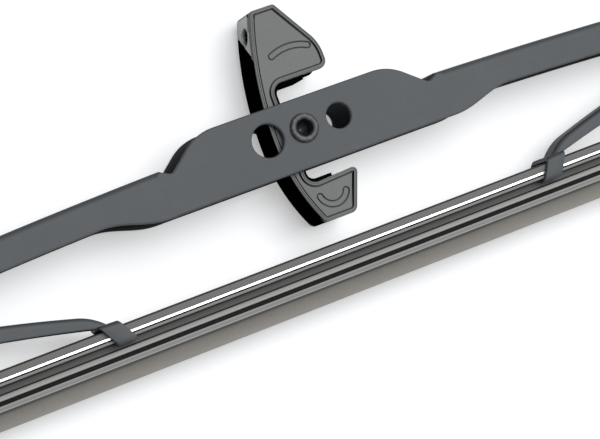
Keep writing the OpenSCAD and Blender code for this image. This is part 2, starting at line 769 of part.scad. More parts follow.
// Ring that snaps over the sleeve, open towards the mouth
module snap_ring() {
    hole_r = sleeve_d / 2 + snap_play;
    ring_r = hole_r + snap_t;
    half = adapter_w / 2 - cheek_t;
    difference() {
        union() {
            across(ring_r, half);
            translate([-mouth_x - snap_t / 2, -ring_r * 0.7, -half])
                cube([mouth_x, ring_r * 1.4, 2 * half]);
        }
        across(hole_r, adapter_w);
        linear_extrude(2 * adapter_w, center = true)
            polygon([[0, 0],
                     2 * ring_r * [cos(snap_open / 2), sin(snap_open / 2)],
                     2 * ring_r * [cos(snap_open / 2), -sin(snap_open / 2)]]);
    }
}

module arm_adapter() {
    slit_w = 0.9;
    slit_h = 3.6;
    color(plastic)
        difference() {
            union() {
                both_sides()
                    cheek();
                adapter_web();
                snap_ring();
            }
            across(sleeve_d / 2 + snap_play, adapter_w);
            both_sides()
                translate([-back_x, long_lobe - slit_h, adapter_w / 2 - cheek_t - slit_w])
                    cube([back_x + 1.5, slit_h + past, slit_w]);
        }
}

// Half of the rubber's section, from the middle of its head to its lip
function rubber_half() =
    let (w = head_w / 2, c = 0.3, slot_z = w - strip_w - strip_play,
         slot_y = head_y - head_h, web = 1.1)
    [[head_y, w - c], [head_y - c, w], [slot_y, w], [slot_y, slot_z],
     [slot_y - slot_h, slot_z], [slot_y - slot_h, w], [flange_y + c, w], [flange_y, w - c],
     [flange_y, neck_w / 2], [neck_low_y, neck_w / 2],
     [neck_low_y - c, shoulder_w / 2], [shoulder_low_y, shoulder_w / 2],
     [shoulder_low_y, hinge_t / 2], [groove_low_y, hinge_t / 2],
     [groove_low_y, lip_flange_w / 2], [lip_top_y, lip_flange_w / 2],
     [lip_top_y - c, web], [lip_low_y, lip_edge / 2]];

module wiper_rubber() {
    half = rubber_half();
    color(rubber_grey)
        rotate([90, 0, 90])
            linear_extrude(rubber_len, center = true)
                polygon(concat(half, reverse(mirrored(half))));
}

// Steel strip in the near slot of the rubber's head, with its end notches
module vertebra() {
    len = rubber_len - 2 * strip_inset;
    notch_x = claw_yoke_x + claw_half_span;
    slot_y = head_y - head_h;
    color(bright_steel)
        difference() {
            translate([-len / 2, slot_y - strip_play - strip_t, head_w / 2 - strip_w])
                cube([len, strip_t, strip_w]);
            both_ends()
                translate([notch_x - claw_w, slot_y - slot_h, head_w / 2 - strip_w / 4])
                    cube([2 * claw_w, slot_h, strip_w]);
        }
}

primary_bridge();
center_rivet();
rivet_sleeve();
arm_adapter();
mirror([1, 0, 0]) yoke();  // yoke_left
yoke();  // yoke_right
mirror([1, 0, 0]) yoke_rivet();  // yoke_rivet_left
yoke_rivet();  // yoke_rivet_right
mirror([1, 0, 0]) yoke_liner();  // yoke_liner_left
yoke_liner();  // yoke_liner_right
mirror([1, 0, 0]) claw_yoke();  // claw_yoke_left
claw_yoke();  // claw_yoke_right
mirror([1, 0, 0]) claw_rivet();  // claw_rivet_left
claw_rivet();  // claw_rivet_right
mirror([1, 0, 0]) claw_liner();  // claw_liner_left
claw_liner();  // claw_liner_right
wiper_rubber();
vertebra();  // vertebra_near
mirror([0, 0, 1]) vertebra();  // vertebra_far
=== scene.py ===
"""Bracket wiper blade with a hook-arm adapter: pieces, finishes, light and camera.

Lengths in this script are millimetres until a mesh is made, X along the blade, Y away from the
glass and Z towards the camera, with the adapter's pivot at the origin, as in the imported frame.
"""
import math

import bmesh
import bpy
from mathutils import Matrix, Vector
from mathutils.geometry import tessellate_polygon


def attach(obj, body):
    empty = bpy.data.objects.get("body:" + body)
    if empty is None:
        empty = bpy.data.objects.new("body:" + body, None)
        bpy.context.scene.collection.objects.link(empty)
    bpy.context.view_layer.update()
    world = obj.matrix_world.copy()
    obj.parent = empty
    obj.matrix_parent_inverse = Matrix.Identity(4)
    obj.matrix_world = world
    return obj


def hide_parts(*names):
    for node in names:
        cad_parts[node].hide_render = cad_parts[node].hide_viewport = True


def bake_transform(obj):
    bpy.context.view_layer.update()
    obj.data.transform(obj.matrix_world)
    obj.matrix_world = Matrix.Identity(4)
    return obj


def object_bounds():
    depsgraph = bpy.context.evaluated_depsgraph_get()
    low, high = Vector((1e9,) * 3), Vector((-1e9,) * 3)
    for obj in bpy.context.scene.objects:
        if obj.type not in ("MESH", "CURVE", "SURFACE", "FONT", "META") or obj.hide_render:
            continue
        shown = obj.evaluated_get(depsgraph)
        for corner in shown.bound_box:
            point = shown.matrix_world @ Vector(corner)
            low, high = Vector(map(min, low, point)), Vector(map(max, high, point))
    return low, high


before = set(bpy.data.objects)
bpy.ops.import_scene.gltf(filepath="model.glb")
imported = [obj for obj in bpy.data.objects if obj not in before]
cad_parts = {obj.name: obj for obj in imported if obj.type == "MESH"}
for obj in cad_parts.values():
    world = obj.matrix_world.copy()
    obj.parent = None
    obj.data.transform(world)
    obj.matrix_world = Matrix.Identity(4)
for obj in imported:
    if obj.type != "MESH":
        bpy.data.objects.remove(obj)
cad_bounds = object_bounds()
MM = 0.001

# Places along the blade and heights over the pivot
CLAW_PITCH = 96.0
YOKE_X = 144.0
CLAW_YOKE_X = 192.0
HEAD_Y = -22.95
RUBBER_END = 265.0

# Bridge
ARCH_R, ARCH_TOP = 1250.0, 1.95
WALL = 1.1
MIDDLE_HALF, ARM_HALF = 6.05, 5.6
ARM_DEPTH = 6.3
BEND = 1.6
PLATE_TOP, PLATE_LOW = 6.0, -7.7
CREST_X, SHOULDER_R, SHOULDER_SLOPE = 17.3, 10.0, 39.0
NOTCH_R, NOTCH_LOW = 1.2, 0.45
BRIDGE_HOLES = ((0, 1.9), (7.61, 2.525), (-7.78, 3.25))
SWEEP_LEN = 13.0
END_R = 3.7

# Yokes, claw yokes and claws
YOKE_WALL, YOKE_HALF, YOKE_DEPTH, YOKE_BEND = 0.8, 4.05, 5.7, 1.2
YOKE_PIVOT_Y, YOKE_TOP_Y, YOKE_END_Y = -10.7216, -8.4216, -14.8
YOKE_BOW_H = 2.4
YOKE_TIP_HALF, CLAW_YOKE_TIP_HALF = 2.9, 2.4
CLAW_YOKE_WALL, CLAW_YOKE_HALF, CLAW_YOKE_DEPTH = 0.7, 2.8, 4.9
CLAW_PIVOT_Y, CLAW_YOKE_TOP_Y, CLAW_BOW_R = -18.55, -16.35, 290.0
TIP_DEPTH, CROOK_R, PIVOT_R = 2.3, 11.0, 2.9
CLAW_TOP_Y, CLAW_ROOF_Y, CLAW_LOW_Y = -21.9, -22.7, -26.52
CLAW_HALF, CLAW_WALL, CLAW_W, LIP_Z = 4.4, 0.8, 4.05, 2.0
CLAW_SLOPE = math.tan(math.radians(30.0))
CLAW_SHIFT = CLAW_SLOPE * (CLAW_TOP_Y - CLAW_LOW_Y) / 2

# Adapter
ADAPTER_HALF, CHEEK_T, BACK_T, END_T = 4.6, 1.2, 1.3, 1.0
LONG_LOBE, SHORT_LOBE = 24.8, 18.6
BACK_X, LONG_BACK_R, SHORT_BACK_R = 6.2, 74.0, 39.0
MOUTH_TOP, MOUTH_LOW, MOUTH_X, MOUTH_R = 9.9, 10.6, 2.7, 2.2
LONG_MARK = ((3.3, MOUTH_TOP - 3.3), 9.4, 65, 114)
SHORT_MARK = ((1.55, -MOUTH_LOW - 2.3), 2.9, 192, 338)
RIM_W, FIELD_T, MARK_W, TRENCH, TRACK_T = 0.75, 0.3, 1.25, 0.28, 0.7
BACK_HOLE_R, BACK_HOLE_W, BACK_HOLE_Z, BACK_HOLE_DOWN = 1.75, 2.1, 0.4, 4.2
SLIT_W, SLIT_H = 0.9, 3.6
TONGUE_LOW, TONGUE_SLANT = 18.5, 0.676

# Rivets, liners and rubber
RIVET_R, RIVET_HEAD_R, RIVET_HEAD_H = 2.05, 2.9, 0.75
HOLLOW_R, HOLLOW_H = 1.6, 2.2
SLEEVE_R = 2.8
YOKE_RIVET_R, CLAW_RIVET_R, SMALL_HEAD_H = 1.3, 1.1, 0.5
HEAD_HALF, HEAD_H, SLOT_H = 3.35, 1.42, 0.74
FLANGE_Y, NECK_LOW_Y, SHOULDER_LOW_Y, GROOVE_LOW_Y = -25.7, -27.3, -28.28, -29.12
LIP_TOP_Y, LIP_LOW_Y = -30.2, -33.62
NECK_HALF, SHOULDER_HALF, HINGE_HALF = 1.1, 2.7, 0.5
LIP_FLANGE_HALF, LIP_EDGE_HALF = 2.4, 0.35
STRIP_T, STRIP_W, STRIP_END = 0.53, 2.0, 262.0
RING_GAP = 4.0
REST_PLACE = "rest_place"

# Floor, light and camera, with the camera's turn in degrees and its lens in millimetres
FLOOR_SIZE, FLOOR_GLOW = 2.5, 0.40
SKY_TINT, SKY_STRENGTH = (0.94, 0.97, 1.0, 1), 0.15
KEY_TOWARDS, KEY_DISTANCE, KEY_SIZE, KEY_POWER = (0.3, 0.2, 0.94), 1.5, 1.3, 21.0
CAMERA_PLACE, CAMERA_LENS = (-143.868, -17.426, 401.861), 131.02
CAMERA_TURN = (7.0724, -17.7058, -21.7068)


def deg_sin(a):
    return math.sin(math.radians(a))


def deg_cos(a):
    return math.cos(math.radians(a))


def arch_y(x):
    """Height of the bridge's arched back."""
    return ARCH_TOP - ARCH_R + math.sqrt(ARCH_R * ARCH_R - x * x)


def smooth_step(t):
    """0 below 0, 1 over 1, and an even S between them."""
    t = min(1.0, max(0.0, t))
    return t * t * (3 - 2 * t)


def arc(cx, cy, r, a0, a1, n):
    """Points of an arc between two angles in degrees."""
    return [(cx + r * deg_cos(a0 + (a1 - a0) * i / n), cy + r * deg_sin(a0 + (a1 - a0) * i / n))
            for i in range(n + 1)]


def ring(cx, cy, r, n=64):
    """A closed circle, clockwise, as a hole in a plate."""
    return [(cx + r * math.cos(-2 * math.pi * i / n), cy + r * math.sin(-2 * math.pi * i / n))
            for i in range(n)]


def ccw(loop):
    """The loop in the direction against the clock."""
    area = sum(loop[i - 1][0] * p[1] - p[0] * loop[i - 1][1] for i, p in enumerate(loop))
    return loop if area > 0 else loop[::-1]


def spaced(loop, gap=0.02):
    """The loop without points that nearly repeat the one before."""
    out = []
    for p in loop:
        if not out or math.dist(p, out[-1]) > gap:
            out.append(p)
    if math.dist(out[0], out[-1]) <= gap:
        out.pop()
    return out


def inset(loop, d):
    """The loop moved d to the left of its own direction, which is into the sheet."""
    if abs(d) < 1e-9:
        return list(loop)
    n = len(loop)
    out = []
    for i in range(n):
        p = Vector(loop[i])
        e0 = (p - Vector(loop[i - 1])).normalized()
        e1 = (Vector(loop[(i + 1) % n]) - p).normalized()
        n0, n1 = Vector((-e0.y, e0.x)), Vector((-e1.y, e1.x))
        q = p + (n0 + n1) * d / max(0.45, 1 + n0.dot(n1))
        out.append((q.x, q.y))
    return out


def to_object(name, bm, sharp=40.0):
    """Finishes a bmesh in millimetres as a smooth-shaded object at the origin."""
    bmesh.ops.remove_doubles(bm, verts=bm.verts, dist=1e-4)
    bmesh.ops.recalc_face_normals(bm, faces=bm.faces)
    bmesh.ops.scale(bm, vec=(MM, MM, MM), verts=bm.verts)
    mesh = bpy.data.meshes.new(name)
    bm.to_mesh(mesh)
    bm.free()
    mesh.polygons.foreach_set("use_smooth", [True] * len(mesh.polygons))
    mesh.set_sharp_from_angle(angle=math.radians(sharp))
    obj = bpy.data.objects.new(name, mesh)
    bpy.context.scene.collection.objects.link(obj)
    return obj


def add_plate(bm, loops, z0, z1, edge=0.3, steps=3, support=0.12, warp=None):
    """A flat sheet between z0 and z1 with rounded edges. The first loop is its outline and
    the others are holes; warp moves each finished point."""
    loops = [ccw(spaced(loops[0]))] + [ccw(spaced(h))[::-1] for h in loops[1:]]
    turn = [90.0 * i / steps for i in range(steps + 1)]
    rise = [(edge * (1 - deg_sin(a)), edge * (1 - deg_cos(a))) for a in turn]
    levels = [(z0, edge + support)] + [(z0 + dz, d) for dz, d in reversed(rise)]
    levels += [(z1 - dz, d) for dz, d in rise] + [(z1, edge + support)]
    rows = []
    for loop in loops:
        rows.append([[bm.verts.new((x, y, z)) for x, y in inset(loop, d)] for z, d in levels])
    for row in rows:
        add_rows(bm, row)
    for k in (0, -1):
        verts = [v for row in rows for v in row[k]]
        polys = [[v.co.copy() for v in row[k]] for row in rows]
        for tri in tessellate_polygon(polys):
            corners = [verts[i] for i in tri]
            if len(set(corners)) == 3:
                bm.faces.new(corners if k else corners[::-1])
    if warp:
        for row in rows:
            for level in row:
                for v in level:
                    v.co = warp(v.co)


def add_rows(bm, rows):
    """Skins between rows of vertices that each go once round."""
    for low, high in zip(rows, rows[1:]):
        for i in range(len(low)):
            bm.faces.new((low[i - 1], low[i], high[i], high[i - 1]))


def add_loft(bm, sections):
    """Skins a list of closed sections, each a list of (x, y, z), and closes both ends."""
    rows = [[bm.verts.new(p) for p in s] for s in sections]
    add_rows(bm, rows)
    bm.faces.new(rows[0][::-1])
    bm.faces.new(rows[-1])


def add_lathe(bm, profile, x, y, steps=48):
    """Turns a (radius, z) profile about an axis along Z at x, y. Both ends lie on the axis."""
    rows = []
    for r, z in profile:
        if r < 1e-6:
            rows.append([bm.verts.new((x, y, z))])
        else:
            rows.append([bm.verts.new((x + r * math.cos(2 * math.pi * i / steps),
                                       y + r * math.sin(2 * math.pi * i / steps), z))
                         for i in range(steps)])
    for low, high in zip(rows, rows[1:]):
        for i in range(steps):
            ring_points = [low[i - 1] if len(low) > 1 else low[0], low[i] if len(low) > 1 else low[0],
                           high[i] if len(high) > 1 else high[0],
                           high[i - 1] if len(high) > 1 else high[0]]
            corners = list(dict.fromkeys(ring_points))
            if len(corners) > 2:
                bm.faces.new(corners)


def channel(half, wall, depth, bend, lip):
    """Closed section of a folded sheet as (distance under its back, z), with eased lips."""
    inner = half - wall
    small = bend - wall
    outer = [(depth, inner + lip), (depth, half - lip), (depth - lip * 0.3, half - lip * 0.3),
             (depth - lip, half), (depth - lip - 0.15, half), (bend + 0.15, half)]
    outer += [(bend - bend * deg_sin(a), half - bend + bend * deg_cos(a))
              for a in [90.0 * i / 7 for i in range(8)]]
    outer += [(0, half - bend - 0.15)]
    back = [(wall, inner - small - 0.15)]
    back += [(wall + small - small * deg_cos(a), inner - small + small * deg_sin(a))
             for a in [90.0 * i / 4 for i in range(5)]]
    back += [(depth - lip - 0.15, inner), (depth - lip, inner), (depth - lip * 0.3, inner + lip * 0.3)]
    flip = [(u, -z) for u, z in outer]
    flip_back = [(u, -z) for u, z in back]
    return outer + flip[::-1] + flip_back[::-1] + back


def sweep(bm, stations):
    """Lofts channels whose stations are (x, y, heading down in degrees, section)."""
    sections = []
    for x, y, heading, section in stations:
        dx, dy = -deg_sin(heading), -deg_cos(heading)
        sections.append([(x + u * dx, y + u * dy, z) for u, z in section])
    add_loft(bm, sections)


def mirror_x(bm):
    """Adds the mirror image of everything so far across the blade's middle."""
    copy = bmesh.ops.duplicate(bm, geom=bm.verts[:] + bm.edges[:] + bm.faces[:])
    for g in copy["geom"]:
        if isinstance(g, bmesh.types.BMVert):
            g.co.x = -g.co.x


# Bridge
def make_bridge():
    """Two side plates with the window between them, and an arm on each side."""
    end = (CREST_X + SHOULDER_R * deg_sin(SHOULDER_SLOPE),
           PLATE_TOP - SHOULDER_R * (1 - deg_cos(SHOULDER_SLOPE)))
    foot = NOTCH_R * (1 - deg_cos(SHOULDER_SLOPE))
    slope = math.tan(math.radians(SHOULDER_SLOPE))
    nx = end[0] + NOTCH_R * deg_sin(SHOULDER_SLOPE) + (end[1] - NOTCH_LOW - foot) / slope
    ny = NOTCH_LOW + NOTCH_R
    window = nx + NOTCH_R * deg_sin(SHOULDER_SLOPE) + (arch_y(nx) - NOTCH_LOW - foot) / slope
    sweep_x = window + 1.5
    arm_x = sweep_x + SWEEP_LEN
    tail = window + 1.2
    right = [(tail, PLATE_LOW + 0.02), (tail, arch_y(window) - 0.6),
             (window + 0.1, arch_y(window) - 0.25)]
    right += arc(nx, ny, NOTCH_R, 270 + SHOULDER_SLOPE, 270 - SHOULDER_SLOPE, 12)
    right += arc(CREST_X, PLATE_TOP - SHOULDER_R, SHOULDER_R, 90 - SHOULDER_SLOPE, 90, 20)
    outline = right + [(-x, y) for x, y in reversed(right)]
    holes = [ring(x, 0, r) for x, r in BRIDGE_HOLES]
    bm = bmesh.new()
    for side in (1, -1):
        z0, z1 = sorted((side * (MIDDLE_HALF - WALL), side * MIDDLE_HALF))

        def warp(co, s=side):
            over = max(0.0, abs(co.x) - window + 0.3) * 0.025
            return Vector((co.x, co.y, co.z - s * over))

        add_plate(bm, [outline] + holes, z0, z1, edge=0.38, steps=4, warp=warp)
    arm = bmesh.new()
    stations = []
    low_end = arch_y(arm_x) - ARM_DEPTH
    last = YOKE_X + 1.0
    xs = [window + (arm_x + 2 - window) * i / 26 for i in range(27)]
    xs += [arm_x + 2 + (last - arm_x - 2) * i / 40 for i in range(1, 41)]
    for x in xs:
        heading = math.degrees(math.asin(x / ARCH_R))
        t = (x - sweep_x) / SWEEP_LEN
        low_y = PLATE_LOW + (low_end - PLATE_LOW) * (1 - deg_cos(180 * min(1, max(0, t)))) / 2
        depth = arch_y(x) - low_y if x < arm_x else ARM_DEPTH
        half = MIDDLE_HALF + (ARM_HALF - MIDDLE_HALF) * min(1, (x - window) / (arm_x - window))
        lobe = (x - (YOKE_X - 15)) / 15
        if lobe > 0:
            depth += (arch_y(YOKE_X) - YOKE_PIVOT_Y + END_R - 0.03 - ARM_DEPTH) * smooth_step(lobe)
        if x < window + 0.01:
            heading = 0
        stations.append((x, arch_y(x), heading, channel(half, WALL, depth, BEND, lip=0.3)))
    sweep(arm, stations)
    for side in (1, -1):
        z0, z1 = sorted((side * (ARM_HALF - WALL + 0.02), side * (ARM_HALF - 0.02)))
        lobe = arc(YOKE_X, YOKE_PIVOT_Y, END_R, -110, 90, 24)
        lobe += [(YOKE_X - 3, YOKE_PIVOT_Y + END_R - 0.4), (YOKE_X - 3, YOKE_PIVOT_Y - END_R + 1.0)]
        add_plate(arm, [lobe], z0, z1, edge=0.3)
    mirror_x(arm)
    merge_into(bm, arm)
    return to_object("bridge_shell", bm)


def merge_into(bm, other):
    """Adds the other bmesh to the first and frees it."""
    mesh = bpy.data.meshes.new("scratch")
    other.to_mesh(mesh)
    other.free()
    bm.from_mesh(mesh)
    bpy.data.meshes.remove(mesh)


# Yokes, claw yokes and claws
def circle_through(a, b, p):
    """Centre and radius of the circle through three points."""
    a, u, v = Vector(a), Vector(b) - Vector(a), Vector(p) - Vector(a)
    k = 2 * (u.x * v.y - u.y * v.x)
    c = a + Vector((v.y * u.dot(u) - u.y * v.dot(v), u.x * v.dot(v) - v.x * u.dot(u))) / k
    return c, (a - c).length


def arm_stations(c, r, wall, half, tip_half, root, claw_x):
    """Stations of an arm from its pivot at x 0 along its bow and round its crook."""
    end = Vector((claw_x - CLAW_SHIFT, CLAW_ROOF_Y + CLAW_WALL / 2))
    far, bow, reach = (end - c).length, r - CROOK_R, CROOK_R - wall / 2
    start = math.degrees(math.atan2(end.x - c.x, end.y - c.y)
                         - math.acos((far * far + bow * bow - reach * reach) / (2 * far * bow)))
    k = c + bow * Vector((deg_sin(start), deg_cos(start)))
    finish = math.degrees(math.atan2(end.x - k.x, end.y - k.y))
    tip_x = claw_x - 2.2

    def lower(x):
        share = max(0.0, 1 - x / tip_x)
        depth = TIP_DEPTH + (root - TIP_DEPTH) * share ** 0.9
        return max(c.y + math.sqrt(r * r - (x - c.x) ** 2) - depth, CLAW_ROOF_Y)

    first = math.degrees(math.asin(-c.x / r))
    path = [(c, r, first + (start - first) * i / 48) for i in range(49)]
    path += [(k, CROOK_R, start + (finish - start) * i / 12) for i in range(1, 13)]
    stations = []
    for centre, radius, h in path:
        x, y = centre.x + radius * deg_sin(h), centre.y + radius * deg_cos(h)
        u = root
        for _ in range(12):
            u += (y - u * deg_cos(h) - lower(x - u * deg_sin(h))) * 0.6
            u = min(max(u, 0.2), root + 1)
        width = half + (tip_half - half) * smooth_step((x / tip_x - 0.4) / 0.55)
        stations.append((x, y, h, channel(width, wall, u + 0.02, YOKE_BEND, lip=0.2)))
    return stations


def add_claw(bm, cx, lean):
    """A claw round the rubber's head; its top leans towards -lean."""
    bend = CLAW_WALL + 0.3
    small = bend - CLAW_WALL
    top, low, half = CLAW_TOP_Y, CLAW_LOW_Y, CLAW_HALF

    def corner(y, r, a0, a1, n):
        return arc(y, half - bend, r, a0, a1, n)

    outer = [(low + 0.25, LIP_Z), (low + 0.05, LIP_Z + 0.05), (low, LIP_Z + 0.25)]
    outer += corner(low + bend, bend, 180, 90, 8)
    outer += corner(top - bend, bend, 90, 0, 8)
    inner = corner(top - bend, small, 0, 90, 4)
    inner += corner(low + bend, small, 90, 180, 4)
    inner += [(low + CLAW_WALL, LIP_Z + 0.25), (low + CLAW_WALL - 0.05, LIP_Z + 0.05),
              (low + CLAW_WALL - 0.25, LIP_Z)]
    loop = outer + [(y, -z) for y, z in reversed(outer)]
    loop += [(y, -z) for y, z in reversed(inner)] + inner
    loop = ccw(spaced(loop, 0.005))
    edge, w = 0.16, CLAW_W / 2
    sections = []
    for off, shrink in ((-w, edge), (-w + 0.3 * edge, 0.3 * edge), (-w + edge, 0), (w - edge, 0),
                        (w - 0.3 * edge, 0.3 * edge), (w, edge)):
        sections.append([(cx + off - lean * CLAW_SLOPE * (y - (top + low) / 2), y, z)
                         for y, z in inset(loop, shrink)])
    add_loft(bm, sections)


def make_yoke(side):
    """A yoke drawn from its rivet at x 0 towards its claw, then put on its side of the blade."""
    bm = bmesh.new()
    outer_x, claw_x = YOKE_X - CLAW_YOKE_X, YOKE_X - CLAW_PITCH / 2
    c, r = circle_through((outer_x, YOKE_END_Y), (0, YOKE_TOP_Y),
                          (claw_x - CLAW_SHIFT, CLAW_ROOF_Y + YOKE_BOW_H))
    end_x = outer_x - 0.6
    end_depth = YOKE_END_Y - CLAW_PIVOT_Y + 2.2
    outer = []
    for i in range(30, 0, -1):
        x = end_x * i / 30
        heading = math.degrees(math.asin((x - c.x) / r))
        y = c.y + math.sqrt(r * r - (x - c.x) ** 2)
        depth = YOKE_DEPTH + (end_depth - YOKE_DEPTH) * i / 30
        near = max(0.0, 1 - ((x - outer_x) / PIVOT_R) ** 2)
        depth = max(depth, y - CLAW_PIVOT_Y + PIVOT_R * math.sqrt(near) - 0.05)
        outer.append((x, y, heading, channel(YOKE_HALF, YOKE_WALL, depth, YOKE_BEND, lip=0.2)))
    sweep(bm, outer + arm_stations(c, r, YOKE_WALL, YOKE_HALF, YOKE_TIP_HALF, YOKE_DEPTH, claw_x))
    lobe = arc(outer_x, CLAW_PIVOT_Y, PIVOT_R, 100, 260, 24)
    lobe += [(outer_x + 0.3, CLAW_PIVOT_Y - PIVOT_R + 0.3),
             (outer_x + 0.3, CLAW_PIVOT_Y + PIVOT_R - 0.3)]
    for s in (1, -1):
        z0, z1 = sorted((s * (YOKE_HALF - YOKE_WALL + 0.02), s * (YOKE_HALF - 0.02)))
        add_plate(bm, [lobe], z0, z1, edge=0.2)
    add_claw(bm, claw_x, 1)
    for v in bm.verts:
        v.co.x = side * (YOKE_X - v.co.x)
    return to_object("yoke_shell_" + ("right" if side > 0 else "left"), bm)


def make_claw_yoke(side):
    """A claw yoke without its claws: the same arm on both sides of its rivet."""
    bm = bmesh.new()
    c = Vector((0, CLAW_YOKE_TOP_Y - CLAW_BOW_R))
    arm = arm_stations(c, CLAW_BOW_R, CLAW_YOKE_WALL, CLAW_YOKE_HALF, CLAW_YOKE_TIP_HALF,
                       CLAW_YOKE_DEPTH, CLAW_PITCH / 2)
    back = [(-x, y, -h, section) for x, y, h, section in reversed(arm[1:])]
    sweep(bm, back + arm)
    for v in bm.verts:
        v.co.x = side * CLAW_YOKE_X + v.co.x
    return to_object("claw_yoke_shell_" + ("right" if side > 0 else "left"), bm)


# Adapter
def on_back(c, r, y):
    """Point of the adapter's back at a height."""
    return Vector((c.x - math.sqrt(r * r - (y - c.y) ** 2), y))


def inside_edge(on_edge, normal, r, y):
    """Centre at a height y of a corner of radius r that touches a slanting edge."""
    return Vector((on_edge.x - (r + (y - on_edge.y) * deg_sin(normal)) / deg_cos(normal), y))


def back_turn(c, p):
    """Angle of a point seen from the back's centre."""
    return math.degrees(math.atan2(p.y - c.y, c.x - p.x))


def mouth_floor(e):
    """The mouth's two rounded inner corners drawn e inside its real edge, from its top down."""
    return (arc(-MOUTH_X + MOUTH_R, MOUTH_TOP - MOUTH_R, MOUTH_R - e, 90, 180, 10)
            + arc(-MOUTH_X + MOUTH_R, -MOUTH_LOW + MOUTH_R, MOUTH_R - e, 180, 270, 10))


LONG_BACK = Vector((LONG_BACK_R - BACK_X, -1))
SHORT_BACK = Vector((SHORT_BACK_R - BACK_X, -1))


def cheek_outline(d):
    """Outline of a cheek drawn d inside its real edge, clockwise from the back's middle."""
    nose, nose_r, slant = Vector((1.75, MOUTH_TOP + 2.7)), 8.0, 32.0
    jaw, tip, chin_slant = Vector((8.05, MOUTH_TOP + 1.7)), Vector((6.9, -MOUTH_LOW - 0.5)), -22.0
    jaw_r, top_r, chin_r, heel_r, tip_r = 1.7, 0.8, 1.6, 1.2, 0.9
    top_left = on_back(LONG_BACK, LONG_BACK_R - top_r, LONG_LOBE - top_r)
    slant_point = nose + nose_r * Vector((deg_cos(slant), deg_sin(slant)))
    top_right = inside_edge(slant_point, slant, top_r, LONG_LOBE - top_r)
    tip_point = tip + tip_r * Vector((deg_cos(chin_slant), deg_sin(chin_slant)))
    chin = inside_edge(tip_point, chin_slant, chin_r, -SHORT_LOBE + chin_r)
    heel = on_back(SHORT_BACK, SHORT_BACK_R - heel_r, -SHORT_LOBE + heel_r)
    long_turn, short_turn = back_turn(LONG_BACK, top_left), -back_turn(SHORT_BACK, heel)
    out = arc(*LONG_BACK, LONG_BACK_R - d, 180, 180 - long_turn, 30)
    out += arc(*top_left, top_r - d, 180 - long_turn, 90, 6)
    out += arc(*top_right, top_r - d, 90, slant, 5)
    out += arc(*nose, nose_r - d, slant, 0, 14)
    out += arc(*jaw, jaw_r - d, 0, -90, 10)
    out += mouth_floor(-d)
    out += arc(*tip, tip_r - d, 95, chin_slant, 8)
    out += arc(*chin, chin_r - d, chin_slant, -90, 8)
    out += arc(*heel, heel_r - d, -90, -180 + short_turn, 8)
    out += arc(*SHORT_BACK, SHORT_BACK_R - d, 180 + short_turn, 180, 24)[:-1]
    return out


def groove_outline(c, r, a0, a1):
    """An arc-shaped mark with round ends, about c between two angles."""
    w = MARK_W / 2
    e0, e1 = ((c[0] + r * deg_cos(a), c[1] + r * deg_sin(a)) for a in (a0, a1))
    return (arc(*c, r + w, a0, a1, 24) + arc(*e1, w, a1 + 15, a1 + 165, 8)
            + arc(*c, r - w, a1, a0, 24) + arc(*e0, w, a0 + 195, a0 + 345, 8))


def add_cap(bm, loops, up=True):
    """Fills between an outline and its holes, each a list of vertices."""
    verts = [v for loop in loops for v in loop]
    for tri in tessellate_polygon([[v.co.copy() for v in loop] for loop in loops]):
        corners = list(dict.fromkeys(verts[i] for i in tri))
        if len(corners) == 3:
            bm.faces.new(corners if up else corners[::-1])


def add_cheek(bm, side):
    """A cheek with a fine groove round its rim, a sunk field and two marks in it."""
    half, edge = ADAPTER_HALF, 0.3
    field = half - FIELD_T
    levels = [(0.0, half - CHEEK_T)]
    levels += [(edge * (1 - deg_cos(a)), half - edge * (1 - deg_sin(a))) for a in range(0, 91, 18)]
    levels += [(edge + 0.03, half - 0.14), (edge + 0.17, half - 0.14), (edge + 0.2, half)]
    levels += [(RIM_W - 0.1, half), (RIM_W - 0.02, half - 0.05), (RIM_W, half - 0.14),
               (RIM_W + 0.01, field - TRENCH), (RIM_W + 0.27, field - TRENCH), (RIM_W + 0.3, field),
               (RIM_W + 0.36, field)]
    rows = [[bm.verts.new((x, y, side * z)) for x, y in ccw(cheek_outline(d))] for d, z in levels]
    add_rows(bm, rows)
    add_cap(bm, [rows[0]], up=side < 0)
    holes = []
    for mark in (LONG_MARK, SHORT_MARK):
        loop = ccw(spaced(groove_outline(*mark)))
        steps = [(-0.2, field), (-0.13, field), (-0.11, field - TRENCH), (0.17, field - TRENCH),
                 (0.2, field - 0.04), (0.27, field - 0.04)]
        hole = [[bm.verts.new((x, y, side * z)) for x, y in inset(loop, d)] for d, z in steps]
        add_rows(bm, hole)
        add_cap(bm, [hole[-1]])
        holes.append(hole[0])
    add_cap(bm, [rows[-1]] + holes)


